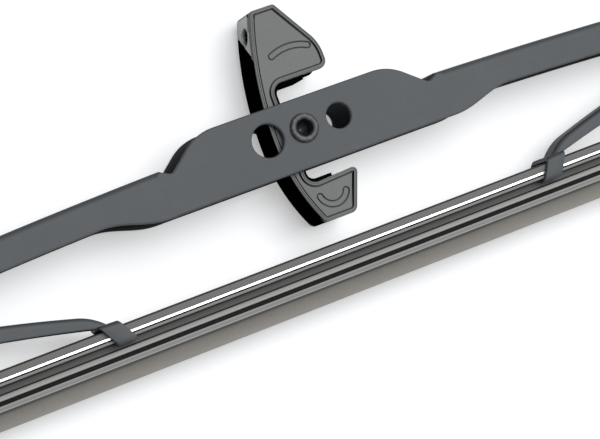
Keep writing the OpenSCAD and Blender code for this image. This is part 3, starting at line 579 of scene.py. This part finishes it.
def web_outline():
    """Section of the adapter between its cheeks: the back, the end walls and the mouth's wall."""
    inner_top, inner_low = LONG_LOBE - END_T, -SHORT_LOBE + END_T
    mid_top, mid_low = MOUTH_TOP + END_T, -MOUTH_LOW - END_T
    edge = [track if track[0] < 0 and inner_low + 0.4 < track[1] < inner_top - 0.2 else rim
            for rim, track in zip(cheek_outline(0.01), cheek_outline(TRACK_T))]
    chin = next(i for i, p in enumerate(edge) if p[1] < inner_low)
    crown = max(range(len(edge)), key=lambda i: edge[i][1])
    brow = next(i for i in range(crown, len(edge)) if edge[i][1] < inner_top)
    back = edge[chin:] + edge[:brow]
    long_arc = [(LONG_BACK.x - math.sqrt((LONG_BACK_R - BACK_T) ** 2 - (y - LONG_BACK.y) ** 2), y)
                for y in [inner_top + (mid_top - inner_top) * i / 16 for i in range(17)]]
    short_arc = [(SHORT_BACK.x - math.sqrt((SHORT_BACK_R - BACK_T) ** 2 - (y - SHORT_BACK.y) ** 2), y)
                 for y in [mid_low + (inner_low - mid_low) * i / 12 for i in range(13)]]
    comb = [(back[-1][0], inner_top)] + long_arc + [(4.5, mid_top), (4.5, MOUTH_TOP)]
    comb += [(4.3, MOUTH_TOP - 0.8)] + mouth_floor(0.8) + [(2.9, 0.8 - MOUTH_LOW)]
    comb += [(2.9, -MOUTH_LOW), (4.5, -MOUTH_LOW), (4.5, mid_low)] + short_arc
    comb += [(back[0][0], inner_low)]
    return back + comb


def cut_away(obj, cutter):
    """Takes the cutter out of the object's mesh and removes the cutter."""
    modifier = obj.modifiers.new("cut", "BOOLEAN")
    modifier.operation = "DIFFERENCE"
    modifier.solver = "EXACT"
    modifier.object = cutter
    return settled(obj, cutter)


def settled(obj, *helpers):
    """The object with its modifiers turned into plain mesh, and its helpers gone."""
    graph = bpy.context.evaluated_depsgraph_get()
    mesh = bpy.data.meshes.new_from_object(obj.evaluated_get(graph))
    obj.modifiers.clear()
    old = obj.data
    obj.data = mesh
    bpy.data.meshes.remove(old)
    mesh.name = obj.name
    for helper in helpers:
        bpy.data.objects.remove(helper)
    return obj


def back_cutter():
    """The hole in the adapter's back and the slit beside the near cheek at its top."""
    half = ADAPTER_HALF - CHEEK_T
    y = LONG_LOBE - BACK_HOLE_DOWN
    bm = bmesh.new()
    oval = [(y + BACK_HOLE_R * v, BACK_HOLE_Z + BACK_HOLE_W * u) for v, u in ring(0, 0, 1.0, 40)]
    add_loft(bm, [[(x, py, pz) for py, pz in oval] for x in (-2 * BACK_X, 1.0)])
    y0, y1, z0, z1 = LONG_LOBE - SLIT_H, LONG_LOBE + 1, half - SLIT_W, half + 0.2
    box = [(y0, z0), (y0, z1), (y1, z1), (y1, z0)]
    add_loft(bm, [[(x, py, pz) for py, pz in box] for x in (-2 * BACK_X, 1.5)])
    return to_object("cutter", bm)


def add_tongue(bm):
    """Face of the back's upper end, from the far cheek's edge to the near slit, cut slanting below."""
    z0, z1 = 0.45 - ADAPTER_HALF, ADAPTER_HALF - CHEEK_T
    thick, rows, steps, proud = 1.0, 16, 14, 0.02
    sections = []
    for i in range(rows + 1):
        z = z0 + (z1 - z0) * i / rows
        low, high = TONGUE_LOW - TONGUE_SLANT * z, LONG_LOBE - 0.35
        outer, inner = [], []
        for k in range(steps + 1):
            y = low + (high - low) * k / steps
            x = on_back(LONG_BACK, LONG_BACK_R, y).x
            outer.append((x + (0.25 if k == 0 else -proud), y, z))
            inner.append((x + thick, y, z))
        outer.insert(1, (outer[1][0], low + 0.25, z))
        sections.append(outer + inner[::-1])
    add_loft(bm, sections)


def make_adapter():
    shell = bmesh.new()
    for side in (1, -1):
        add_cheek(shell, side)
    web, tongue = bmesh.new(), bmesh.new()
    half = ADAPTER_HALF - CHEEK_T
    add_plate(web, [web_outline()], -half, half, edge=0.01, steps=1, support=0.01)
    add_tongue(tongue)
    back = cut_away(to_object("adapter_back", web, sharp=30), back_cutter())
    face = cut_away(to_object("adapter_tongue", tongue, sharp=30), back_cutter())
    snap = bmesh.new()
    ring_r, hole_r = SLEEVE_R + 1.55, SLEEVE_R + 0.05
    loop = arc(0, 0, ring_r, 50, 128, 14) + [(-MOUTH_X - 0.4, 3.3), (-MOUTH_X - 0.4, -3.3)]
    loop += arc(0, 0, ring_r, 232, 310, 14) + arc(0, 0, hole_r, 310, 50, 40)
    add_plate(snap, [loop], -half, half, edge=0.15)
    return to_object("adapter_cheeks", shell), back, face, to_object("adapter_snap_ring", snap)


# Rivets
def make_center_rivet():
    """The hollow rivet with a rolled ring in front and a low dome behind."""
    bm = bmesh.new()
    half = MIDDLE_HALF
    ring_c, ring_r = (RIVET_HEAD_R + HOLLOW_R) / 2, (RIVET_HEAD_R - HOLLOW_R) / 2
    profile = [(0, half - HOLLOW_H - 0.72), (0.25, half - HOLLOW_H - 0.66),
               (HOLLOW_R - 0.08, half - HOLLOW_H), (HOLLOW_R, half - HOLLOW_H + 0.15),
               (HOLLOW_R, half - 0.4), (HOLLOW_R, half)]
    for a in range(170, -1, -10):
        x, y = deg_cos(a), deg_sin(a)
        profile.append((ring_c + ring_r * math.copysign(abs(x) ** 0.75, x),
                        half + RIVET_HEAD_H * y ** 0.6))
    profile += [(RIVET_HEAD_R - 0.05, half + 0.005), (RIVET_R, half + 0.005), (RIVET_R, -half - 0.005),
                (RIVET_HEAD_R - 0.05, -half - 0.005), (RIVET_HEAD_R, -half - 0.08)]
    for a in range(0, 91, 15):
        profile.append((RIVET_HEAD_R * deg_cos(a) ** 0.35 if a < 90 else 0.0,
                        -half - 0.08 - (RIVET_HEAD_H - 0.08) * deg_sin(a)))
    add_lathe(bm, profile, 0, 0, 72)
    return to_object("center_rivet_turned", bm, sharp=50)


def rivet_profile(shank, half):
    """Solid rivet with a low dome on each side."""
    head = 1.8 * shank
    dome = [(head * deg_cos(a) ** 0.8 if a < 90 else 0.0,
             half + 0.06 + (SMALL_HEAD_H - 0.06) * deg_sin(a)) for a in range(0, 91, 10)]
    side = [(shank, half), (head - 0.1, half), (head, half + 0.04)]
    top = side + dome
    return [(r, -z) for r, z in reversed(top)] + top


# Rubber and strips
def rubber_half():
    """Half of the rubber's section as (y, z), from the head's top to the lip's edge."""
    c, slot_z, slot_y = 0.22, HEAD_HALF - 2.04, HEAD_Y - HEAD_H
    return [(HEAD_Y, HEAD_HALF - c), (HEAD_Y - 0.3 * c, HEAD_HALF - 0.3 * c), (HEAD_Y - c, HEAD_HALF),
            (slot_y + 0.1, HEAD_HALF), (slot_y, HEAD_HALF - 0.08), (slot_y, slot_z),
            (slot_y - SLOT_H, slot_z), (slot_y - SLOT_H, HEAD_HALF - 0.08),
            (slot_y - SLOT_H - 0.1, HEAD_HALF),
            (FLANGE_Y + 0.14, HEAD_HALF), (FLANGE_Y + 0.04, HEAD_HALF - 0.04),
            (FLANGE_Y, HEAD_HALF - 0.14), (FLANGE_Y, NECK_HALF + 0.12), (FLANGE_Y - 0.12, NECK_HALF),
            (NECK_LOW_Y + 0.12, NECK_HALF), (NECK_LOW_Y, NECK_HALF + 0.12),
            (NECK_LOW_Y - 0.06, SHOULDER_HALF - 0.22), (NECK_LOW_Y - 0.24, SHOULDER_HALF),
            (SHOULDER_LOW_Y + 0.12, SHOULDER_HALF), (SHOULDER_LOW_Y, SHOULDER_HALF - 0.12),
            (SHOULDER_LOW_Y, HINGE_HALF), (GROOVE_LOW_Y, HINGE_HALF),
            (GROOVE_LOW_Y, LIP_FLANGE_HALF - 0.15), (GROOVE_LOW_Y - 0.15, LIP_FLANGE_HALF),
            (LIP_TOP_Y + 0.12, LIP_FLANGE_HALF), (LIP_TOP_Y, LIP_FLANGE_HALF - 0.12),
            (LIP_TOP_Y - 0.08, 1.32), (LIP_TOP_Y - 0.35, 1.1), (LIP_LOW_Y + 0.1, LIP_EDGE_HALF),
            (LIP_LOW_Y, LIP_EDGE_HALF - 0.08)]


def strip_half():
    """Section of the near steel strip, flush with the head's side."""
    low, z0, z1 = HEAD_Y - HEAD_H - 0.04 - STRIP_T, HEAD_HALF - STRIP_W, HEAD_HALF - 0.005
    high, e = low + STRIP_T, 0.07
    return [(low, z0), (low, z1 - e), (low + e, z1), (high - e, z1), (high, z1 - e), (high, z0)]


def add_run(bm, section, x0, x1):
    """The section drawn along the blade, with a ring about every RING_GAP."""
    n = max(2, round(abs(x1 - x0) / RING_GAP))
    add_loft(bm, [[(x0 + (x1 - x0) * i / n, y, z) for y, z in section] for i in range(n + 1)])


def keep_places(obj):
    """Stores where each point of a piece is at rest, for its pattern to read."""
    places = obj.data.attributes.new(REST_PLACE, "FLOAT_VECTOR", "POINT")
    places.data.foreach_set("vector", [k for v in obj.data.vertices for k in v.co])
    return obj


def make_refill(name, x0, x1):
    """A stretch of the refill between two places along the blade."""
    rubber, strips = bmesh.new(), bmesh.new()
    half = rubber_half()
    add_run(rubber, ccw(half + [(y, -z) for y, z in reversed(half)]), x0, x1)
    ends = [max(-STRIP_END, min(STRIP_END, x)) for x in (x0, x1)]
    for side in (1, -1):
        add_run(strips, ccw([(y, side * z) for y, z in strip_half()]), *ends)
    return (keep_places(to_object("rubber_" + name, rubber, sharp=35)),
            keep_places(to_object("strips_" + name, strips, sharp=35)))


# Materials
class Maths:
    """A number socket that takes part in Python expressions by adding Math nodes."""

    def __init__(self, shader, socket):
        self.shader = shader
        self.socket = socket

    def _join(self, operation, *values):
        return Maths(self.shader, self.shader.node("Math", {"operation": operation}, *values))

    def __add__(self, other):
        return self._join("ADD", self, other)

    def __sub__(self, other):
        return self._join("SUBTRACT", self, other)

    def __mul__(self, other):
        return self._join("MULTIPLY", self, other)

    def __truediv__(self, other):
        return self._join("DIVIDE", self, other)

    def __radd__(self, other):
        return self._join("ADD", other, self)

    def __rsub__(self, other):
        return self._join("SUBTRACT", other, self)

    def __rmul__(self, other):
        return self._join("MULTIPLY", other, self)

    def __neg__(self):
        return self._join("MULTIPLY", self, -1.0)

    def __abs__(self):
        return self._join("ABSOLUTE", self)

    def clamp(self):
        return Maths(self.shader, self.shader.node(
            "Math", {"operation": "ADD", "use_clamp": True}, self, 0.0))


class Shader:
    """A material's or a world's nodes: node() is the one way in which they are added."""

    def __init__(self, name, attribute=None, kind="materials"):
        self.attribute = attribute
        self.owner = getattr(bpy.data, kind).new(name)
        self.owner.use_nodes = True
        self.tree = self.owner.node_tree
        self.tree.nodes.clear()

    def node(self, kind, settings=None, *values, output=0, **named):
        node = self.tree.nodes.new("ShaderNode" + kind)
        for key, value in (settings or {}).items():
            if key == "interpolation":
                node.color_ramp.interpolation = value
            elif key == "stops":
                ramp = node.color_ramp
                while len(ramp.elements) < len(value):
                    ramp.elements.new(0.5)
                for element, (place, shade) in zip(ramp.elements, value):
                    element.position = place
                    element.color = shade
            else:
                setattr(node, key, value)
        for socket, value in list(enumerate(values)) + list(named.items()):
            if isinstance(socket, str):
                socket = socket.replace("_", " ")
            target = node.inputs[socket]
            if isinstance(value, Maths):
                value = value.socket
            if isinstance(value, bpy.types.NodeSocket):
                self.tree.links.new(value, target)
            elif value is not None:
                target.default_value = value
        return node.outputs[output] if len(node.outputs) else None

    def number(self, socket):
        return Maths(self, socket)

    def place(self, scale=1.0, stretch=(1, 1, 1)):
        """Place on the piece in millimetres times scale, stretched: Object coordinates, or the piece's
        own stored attribute where one is given."""
        if self.attribute:
            here = self.node("Attribute", {"attribute_name": self.attribute}, output=1)
        else:
            here = self.node("TexCoord", output=3)
        size = tuple(1000.0 * scale * k for k in stretch)
        return self.node("Mapping", {}, Vector=here, Scale=size)

    def axes(self, vector):
        """The three numbers of a vector."""
        return [self.number(self.node("SeparateXYZ", {}, vector, output=axis)) for axis in "XYZ"]

    def seen(self):
        """1 where the camera, a gloss or a clear piece looks, and 0 for light that falls."""
        camera, gloss, clear = (self.number(self.node("LightPath", output=f"Is {kind} Ray"))
                                for kind in ("Camera", "Glossy", "Transmission"))
        return (camera + gloss + clear).clamp()

    def noise(self, scale, detail=3.0, roughness=0.5, stretch=(1, 1, 1)):
        """Noise with about scale patches to a millimetre."""
        return self.number(self.node("TexNoise", {"noise_dimensions": "3D"}, Detail=detail,
                                     Roughness=roughness, Scale=1.0,
                                     Vector=self.place(scale, stretch)))

    def mix(self, factor, a, b, blend="MIX"):
        return self.node("Mix", {"data_type": "RGBA", "blend_type": blend}, factor,
                         None, None, None, None, None, colour(a), colour(b), output=2)

    def ramp(self, value, stops, interpolation="LINEAR"):
        return self.node("ValToRGB", {"interpolation": interpolation, "stops": stops}, value)

    def bump(self, height, strength, distance):
        return self.node("Bump", {}, Strength=strength, Distance=distance * MM, Height=height)

    def surface(self, colour_value, **sockets):
        shader = self.node("BsdfPrincipled", {}, **{"Base_Color": colour(colour_value), **sockets})
        self.node("OutputMaterial", {}, shader)
        return self.owner


def colour(value):
    """A colour socket, or a colour from sRGB numbers between 0 and 255."""
    if isinstance(value, (bpy.types.NodeSocket, Maths)):
        return value
    if len(value) == 4:
        return value
    linear = [((v / 255 + 0.055) / 1.055) ** 2.4 if v > 10.31 else v / 255 / 12.92 for v in value]
    return (*linear, 1)


def painted_steel():
    """Satin slate-grey paint on folded sheet, with a faint orange peel and specks, and painted shade on
    faces that look up and on the channels' inside faces.
    """
    s = Shader("painted_steel")
    cloud = s.noise(0.08, detail=2)
    speck = s.noise(2.6, detail=2, roughness=0.6)
    facing = s.axes(s.node("TexCoord", output=1))
    inward = -(facing[2] * s.axes(s.place())[2])
    base = s.mix(cloud, (89, 93, 96), (96, 100, 103))
    base = s.mix(((speck - 0.62) * 6).clamp() * 0.5, base, (112, 116, 119))
    # Painted shade: faces that look up (+Y) and faces turned into the channel are mixed towards a
    # darker grey.
    painted_shade = ((facing[1] - 0.35) * 2).clamp() * 0.7 + (inward - 0.5).clamp()
    base = s.mix(painted_shade.clamp(), base, (34, 36, 38))
    peel = s.noise(1.4, detail=2)
    return s.surface(base, Roughness=0.42 + 0.14 * s.noise(0.5), Specular_IOR_Level=0.14,
                     Normal=s.bump(peel, 0.35, 0.012))


def rivet_paint():
    """The same paint on the rivets, worn brighter by the rolling tool in fine rings."""
    s = Shader("painted_rivet")
    rub = s.noise(1.1, detail=4)
    base = s.mix(((rub - 0.45) * 4).clamp() * 0.6, (40, 43, 46), (92, 95, 98))
    return s.surface(base, Metallic=0.35, Roughness=0.3 + 0.15 * rub,
                     Normal=s.bump(s.noise(3.0), 0.4, 0.01))


def liner_nylon():
    s = Shader("liner_nylon")
    mottle = s.noise(0.9)
    base = s.mix(mottle, (26, 27, 28), (44, 45, 46))
    return s.surface(base, Roughness=0.42 + 0.12 * mottle, Normal=s.bump(s.noise(4.0), 0.3, 0.008))


def bare_steel():
    """Drawn steel: fine lines along the blade."""
    s = Shader("bare_steel")
    lines = s.noise(1.2, detail=4, stretch=(0.04, 4.0, 4.0))
    base = s.mix(lines, (206, 208, 210), (236, 237, 238))
    return s.surface(base, Metallic=0.85, Roughness=0.24 + 0.16 * lines,
                     Normal=s.bump(lines, 0.3, 0.006))


def adapter_plastic(finish="grained"):
    """Moulded plastic, grained on the cheeks, smooth on the tongue. Painted shade: near-black on the
    track and on the cheeks' back and inner faces, darker in the trenches; the tongue's light base is a
    painted reflection.
    """
    s = Shader("adapter_plastic_" + finish)
    cloud = s.noise(0.15, detail=2)
    black = s.mix(cloud, (5, 5, 5), (10, 10, 9))
    if finish == "grained":
        pores = s.noise(3.2, detail=3, roughness=0.6)
        base = s.mix(cloud, (111, 113, 112), (119, 121, 120))
        base = s.mix(((pores - 0.5) * 5).clamp() * 0.3, base, (144, 146, 145))
        facing = s.axes(s.node("TexCoord", output=1))
        _, y, z = s.axes(s.place())
        # Painted shade: the trench floors round the rim and the marks are mixed towards a near-black
        # grey.
        floor_z = ADAPTER_HALF - FIELD_T - TRENCH
        sunk = ((abs(facing[2]) - 0.6) * 8).clamp() * (1 - abs(abs(z) - floor_z) * 8).clamp()
        # Painted shade: the cheeks' faces that look back below the tongue's edge, and their inner
        # faces, get the near-black surface.
        behind = ((-facing[0] - 0.8) * 9).clamp() * ((TONGUE_LOW - y - z * TONGUE_SLANT) * 8).clamp()
        inside = ((ADAPTER_HALF - CHEEK_T + 0.04 - abs(z)) * 30).clamp()
        base = s.mix(sunk * 0.85, base, (24, 25, 24))
        grain = s.node("BsdfPrincipled", {}, Base_Color=base, Roughness=0.5 + 0.12 * pores,
                       Specular_IOR_Level=0.3, Normal=s.bump(pores, 0.55, 0.03))
        shade_surface = s.node("BsdfPrincipled", {}, Base_Color=black, Roughness=0.7, Specular_IOR_Level=0.0)
        s.node("OutputMaterial", {}, s.node("MixShader", {}, (behind + inside).clamp(), grain, shade_surface))
        return s.owner
    if finish == "tongue":
        # Painted reflection: the tongue's light base stands in for the light that its face reflects.
        base = s.mix(cloud, (184, 185, 186), (196, 197, 198))
        return s.surface(base, Roughness=0.22 + 0.08 * cloud, Specular_IOR_Level=1.0,
                         Normal=s.bump(s.noise(1.5), 0.2, 0.008))
    # Painted shade: the near-black surface of the track and the snap ring.
    return s.surface(black, Roughness=0.6 + 0.1 * cloud, Specular_IOR_Level=0.0,
                     Normal=s.bump(s.noise(1.5), 0.2, 0.008))


def blade_rubber():
    """Grey rubber in bands by height, with painted highlights on the ridges' edges and painted shade in
    the recesses; brown and mottled on the lip, lighter towards its edge.
    """
    s = Shader("blade_rubber", REST_PLACE)
    height = s.axes(s.place())[1]
    slot = HEAD_Y - HEAD_H
    # Painted light and shade by height: highlights on the edges of the ridges, shade in the slot, under
    # the flange, on the neck and in the groove.
    painted_light_and_shade = [(HEAD_Y, 28), (HEAD_Y - 0.28, 120), (slot, 30), (slot - SLOT_H - 0.05, 150),
              (FLANGE_Y, 56), (FLANGE_Y - 0.35, 98), (NECK_LOW_Y + 0.24, 20), (NECK_LOW_Y, 170),
              (SHOULDER_LOW_Y + 0.32, 186), (SHOULDER_LOW_Y, 14), (GROOVE_LOW_Y, 172),
              (GROOVE_LOW_Y - 0.25, 148), (LIP_TOP_Y + 0.24, 190), (LIP_TOP_Y, 108)]
    tall = HEAD_Y - LIP_LOW_Y
    stops = [((HEAD_Y - y) / tall, colour((k, k, k - 1.5))) for y, k in painted_light_and_shade]
    painted_light_bands = s.ramp((HEAD_Y - height) / tall, stops, "CONSTANT")
    lip = ((LIP_TOP_Y - height) / (LIP_TOP_Y - LIP_LOW_Y)).clamp()
    streak = s.noise(0.35, detail=4, stretch=(0.35, 1.0, 1.0))
    mottle = s.noise(1.5, detail=3, roughness=0.65)
    brown = s.mix(lip, (126, 122, 116), (182, 178, 171))
    brown = s.mix(((streak - 0.4) * 2.2).clamp() * 0.5, brown, (158, 156, 151))
    base = s.mix(((lip - 0.1) * 12).clamp() * 0.9, painted_light_bands, brown)
    base = s.mix(0.4, base, s.mix(mottle, (196, 196, 195), (255, 255, 255)), "MULTIPLY")
    return s.surface(base, Roughness=0.55 + 0.2 * mottle, Specular_IOR_Level=0.3,
                     Normal=s.bump(mottle, 0.3, 0.015))


def floor_paper():
    """Pale ground: lit by the lamps, and lifted to white where the camera or a gloss sees it."""
    s = Shader("floor_paper")
    paper = s.node("BsdfDiffuse", {}, colour((234, 235, 237)))
    around = s.node("BsdfDiffuse", {}, colour((120, 121, 123)))
    glow = s.node("Emission", {}, colour((255, 255, 255)), FLOOR_GLOW)
    lifted = s.node("AddShader", {}, paper, glow)
    s.node("OutputMaterial", {}, s.node("MixShader", {}, s.seen(), around, lifted))
    return s.owner


# What repeats
def repeat_tree():
    """Puts a piece along the blade, every other one turned half round about the Y axis."""
    tree = bpy.data.node_groups.new("repeat_along_blade", "GeometryNodeTree")
    face = tree.interface
    face.new_socket("Geometry", in_out="INPUT", socket_type="NodeSocketGeometry")
    for name, kind in (("Piece", "Object"), ("Count", "Int"), ("Start", "Vector"), ("Spacing", "Float"),
                       ("Material", "Material")):
        face.new_socket(name, in_out="INPUT", socket_type="NodeSocket" + kind)
    face.new_socket("Geometry", in_out="OUTPUT", socket_type="NodeSocketGeometry")
    nodes, link = tree.nodes, tree.links.new

    def add(kind, **settings):
        node = nodes.new(kind)
        for key, value in settings.items():
            setattr(node, key, value)
        return node

    given, result = add("NodeGroupInput"), add("NodeGroupOutput")
    line = add("GeometryNodeMeshLine", mode="OFFSET")
    step = add("ShaderNodeCombineXYZ")
    piece = add("GeometryNodeObjectInfo", transform_space="ORIGINAL")
    index = add("GeometryNodeInputIndex")
    parity = add("ShaderNodeMath", operation="MODULO")
    turn = add("ShaderNodeMath", operation="MULTIPLY")
    angle = add("ShaderNodeCombineXYZ")
    place = add("GeometryNodeInstanceOnPoints")
    real = add("GeometryNodeRealizeInstances")
    paint = add("GeometryNodeSetMaterial")
    link(given.outputs["Count"], line.inputs["Count"])
    link(given.outputs["Start"], line.inputs["Start Location"])
    link(given.outputs["Spacing"], step.inputs["X"])
    link(step.outputs[0], line.inputs["Offset"])
    link(given.outputs["Piece"], piece.inputs["Object"])
    link(index.outputs[0], parity.inputs[0])
    parity.inputs[1].default_value = 2.0
    link(parity.outputs[0], turn.inputs[0])
    turn.inputs[1].default_value = math.pi
    link(turn.outputs[0], angle.inputs["Y"])
    link(line.outputs[0], place.inputs["Points"])
    link(piece.outputs["Geometry"], place.inputs["Instance"])
    link(angle.outputs[0], place.inputs["Rotation"])
    link(place.outputs[0], real.inputs[0])
    link(real.outputs[0], paint.inputs["Geometry"])
    link(given.outputs["Material"], paint.inputs["Material"])
    link(paint.outputs[0], result.inputs[0])
    return tree


def repeat_piece(name, tree, piece, count, start, spacing, material):
    """One mesh of count copies of a piece, from start on, spacing apart."""
    holder = bpy.data.objects.new(name, bpy.data.meshes.new(name))
    bpy.context.scene.collection.objects.link(holder)
    modifier = holder.modifiers.new("repeat", "NODES")
    modifier.node_group = tree
    values = {"Piece": piece, "Count": count, "Start": [k * MM for k in start], "Spacing": spacing * MM,
              "Material": material}
    for socket in tree.interface.items_tree:
        if socket.in_out == "INPUT" and socket.name in values:
            modifier[socket.identifier] = values[socket.name]
    return settled(holder)


# The assembly
def dress(obj, material, body, slot, *nodes):
    """Gives a piece its finish, its body and the solids that it stands for."""
    obj.data.materials.clear()
    obj.data.materials.append(material)
    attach(obj, body)
    if nodes:
        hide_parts(*nodes)
    return obj


def lathe_object(name, profile):
    bm = bmesh.new()
    add_lathe(bm, profile, 0, 0, 48)
    return to_object(name, bm, sharp=50)


def claw_object():
    bm = bmesh.new()
    add_claw(bm, 0, 1)
    return to_object("claw", bm)


def build_blade():
    """Makes every piece, gives it its finish and lets it follow its body."""
    paint, rivets, nylon, steel = painted_steel(), rivet_paint(), liner_nylon(), bare_steel()
    # smooth holds the track's near-black surface: painted shade on the adapter's back and snap ring.
    grained, smooth, rubber = adapter_plastic(), adapter_plastic("track"), blade_rubber()
    for name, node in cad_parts.items():
        node.data.materials.clear()
        node.data.materials.append(nylon if "liner" in name else steel)
    dress(make_bridge(), paint, "bridge_body", "painted_steel", "primary_bridge")
    dress(make_center_rivet(), rivets, "bridge_body", "painted_rivet", "center_rivet")
    cheeks, back, tongue, snap = make_adapter()
    dress(cheeks, grained, "adapter_body", "adapter_plastic", "arm_adapter")
    dress(back, smooth, "adapter_body", "adapter_plastic", "arm_adapter")
    dress(tongue, adapter_plastic("tongue"), "adapter_body", "adapter_plastic", "arm_adapter")
    dress(snap, smooth, "adapter_body", "adapter_plastic", "arm_adapter")
    tree = repeat_tree()
    yoke_rivet = lathe_object("yoke_rivet_master", rivet_profile(YOKE_RIVET_R, ARM_HALF))
    claw_rivet = lathe_object("claw_rivet_master", rivet_profile(CLAW_RIVET_R, YOKE_HALF))
    claw = claw_object()
    pair = repeat_piece("yoke_rivets", tree, yoke_rivet, 2, (-YOKE_X, YOKE_PIVOT_Y, 0), 2 * YOKE_X,
                        rivets)
    dress(pair, rivets, "bridge_body", "painted_rivet", "yoke_rivet_left", "yoke_rivet_right")
    for side, name in ((1, "right"), (-1, "left")):
        yoke_body, claw_body = "yoke_body_" + name, "claw_yoke_body_" + name
        dress(make_yoke(side), paint, yoke_body, "painted_steel", "yoke_" + name)
        dress(make_claw_yoke(side), paint, claw_body, "painted_steel", "claw_yoke_" + name)
        rivet = repeat_piece("claw_rivet_" + name + "_turned", tree, claw_rivet, 1,
                             (side * CLAW_YOKE_X, CLAW_PIVOT_Y, 0), 1, rivets)
        dress(rivet, rivets, yoke_body, "painted_rivet", "claw_rivet_" + name)
        claws = repeat_piece("claws_" + name, tree, claw, 2,
                             (side * CLAW_YOKE_X + CLAW_PITCH / 2, 0, 0), -CLAW_PITCH, paint)
        dress(claws, paint, claw_body, "painted_steel", "claw_yoke_" + name)
        runs = ((0, CLAW_PITCH / 2, "bridge_body", yoke_body),
                (CLAW_PITCH / 2, YOKE_X, yoke_body, claw_body), (YOKE_X, RUBBER_END, claw_body, None))
        for i, (x0, x1, near_body, far_body) in enumerate(runs):
            stretch = make_refill(f"{name}_{i + 1}", side * x0, side * x1)
            for piece, finish, slot, nodes in ((stretch[0], rubber, "blade_rubber", ["wiper_rubber"]),
                                               (stretch[1], steel, "bare_steel",
                                                ["vertebra_near", "vertebra_far"])):
                dress(piece, finish, near_body, slot, *nodes)
                if far_body:
                    piece.parent = None
                    side * x0 * MM
                    side * x1 * MM
                    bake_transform(piece)
    for master in (yoke_rivet, claw_rivet, claw):
        bpy.data.objects.remove(master)


# Floor, light and camera
def add_floor(level):
    bm = bmesh.new()
    bmesh.ops.create_grid(bm, x_segments=1, y_segments=1, size=FLOOR_SIZE)
    mesh = bpy.data.meshes.new("floor")
    bm.to_mesh(mesh)
    bm.free()
    floor = bpy.data.objects.new("floor", mesh)
    floor.location.z = level
    floor.data.materials.append(floor_paper())
    bpy.context.scene.collection.objects.link(floor)


def add_lamp(name, towards, distance, size, power):
    """A square soft box that shines on the adapter's pivot from a direction."""
    lamp = bpy.data.lights.new(name, "AREA")
    lamp.shape = "SQUARE"
    lamp.size = size
    lamp.energy = power
    obj = bpy.data.objects.new(name, lamp)
    obj.location = Vector(towards).normalized() * distance
    obj.rotation_euler = (-obj.location).to_track_quat("-Z", "Y").to_euler()
    bpy.context.scene.collection.objects.link(obj)


def add_sky(strength):
    """Faint sky light that the camera and a gloss see as white."""
    s = Shader("studio", kind="worlds")
    faint = s.node("Background", {}, SKY_TINT, strength)
    white = s.node("Background", {}, (1, 1, 1, 1), 1.0)
    s.node("OutputWorld", {}, s.node("MixShader", {}, s.seen(), faint, white))
    bpy.context.scene.world = s.owner


def add_camera():
    """The photograph's camera: above the blade's side, turned so that the blade climbs."""
    data = bpy.data.cameras.new("camera")
    data.sensor_fit = "HORIZONTAL"
    data.sensor_width = 36.0
    data.lens = CAMERA_LENS
    data.clip_start = 0.01
    data.clip_end = 20.0
    camera = bpy.data.objects.new("camera", data)
    camera.location = Vector(CAMERA_PLACE) * MM
    camera.rotation_euler = [math.radians(a) for a in CAMERA_TURN]
    bpy.context.scene.collection.objects.link(camera)
    bpy.context.scene.camera = camera


build_blade()
add_floor(cad_bounds[0][2])
add_sky(SKY_STRENGTH)
add_lamp("key", KEY_TOWARDS, KEY_DISTANCE, KEY_SIZE, KEY_POWER)
add_camera()
bpy.context.scene.view_settings.view_transform = "Standard"
bpy.context.view_layer.update()
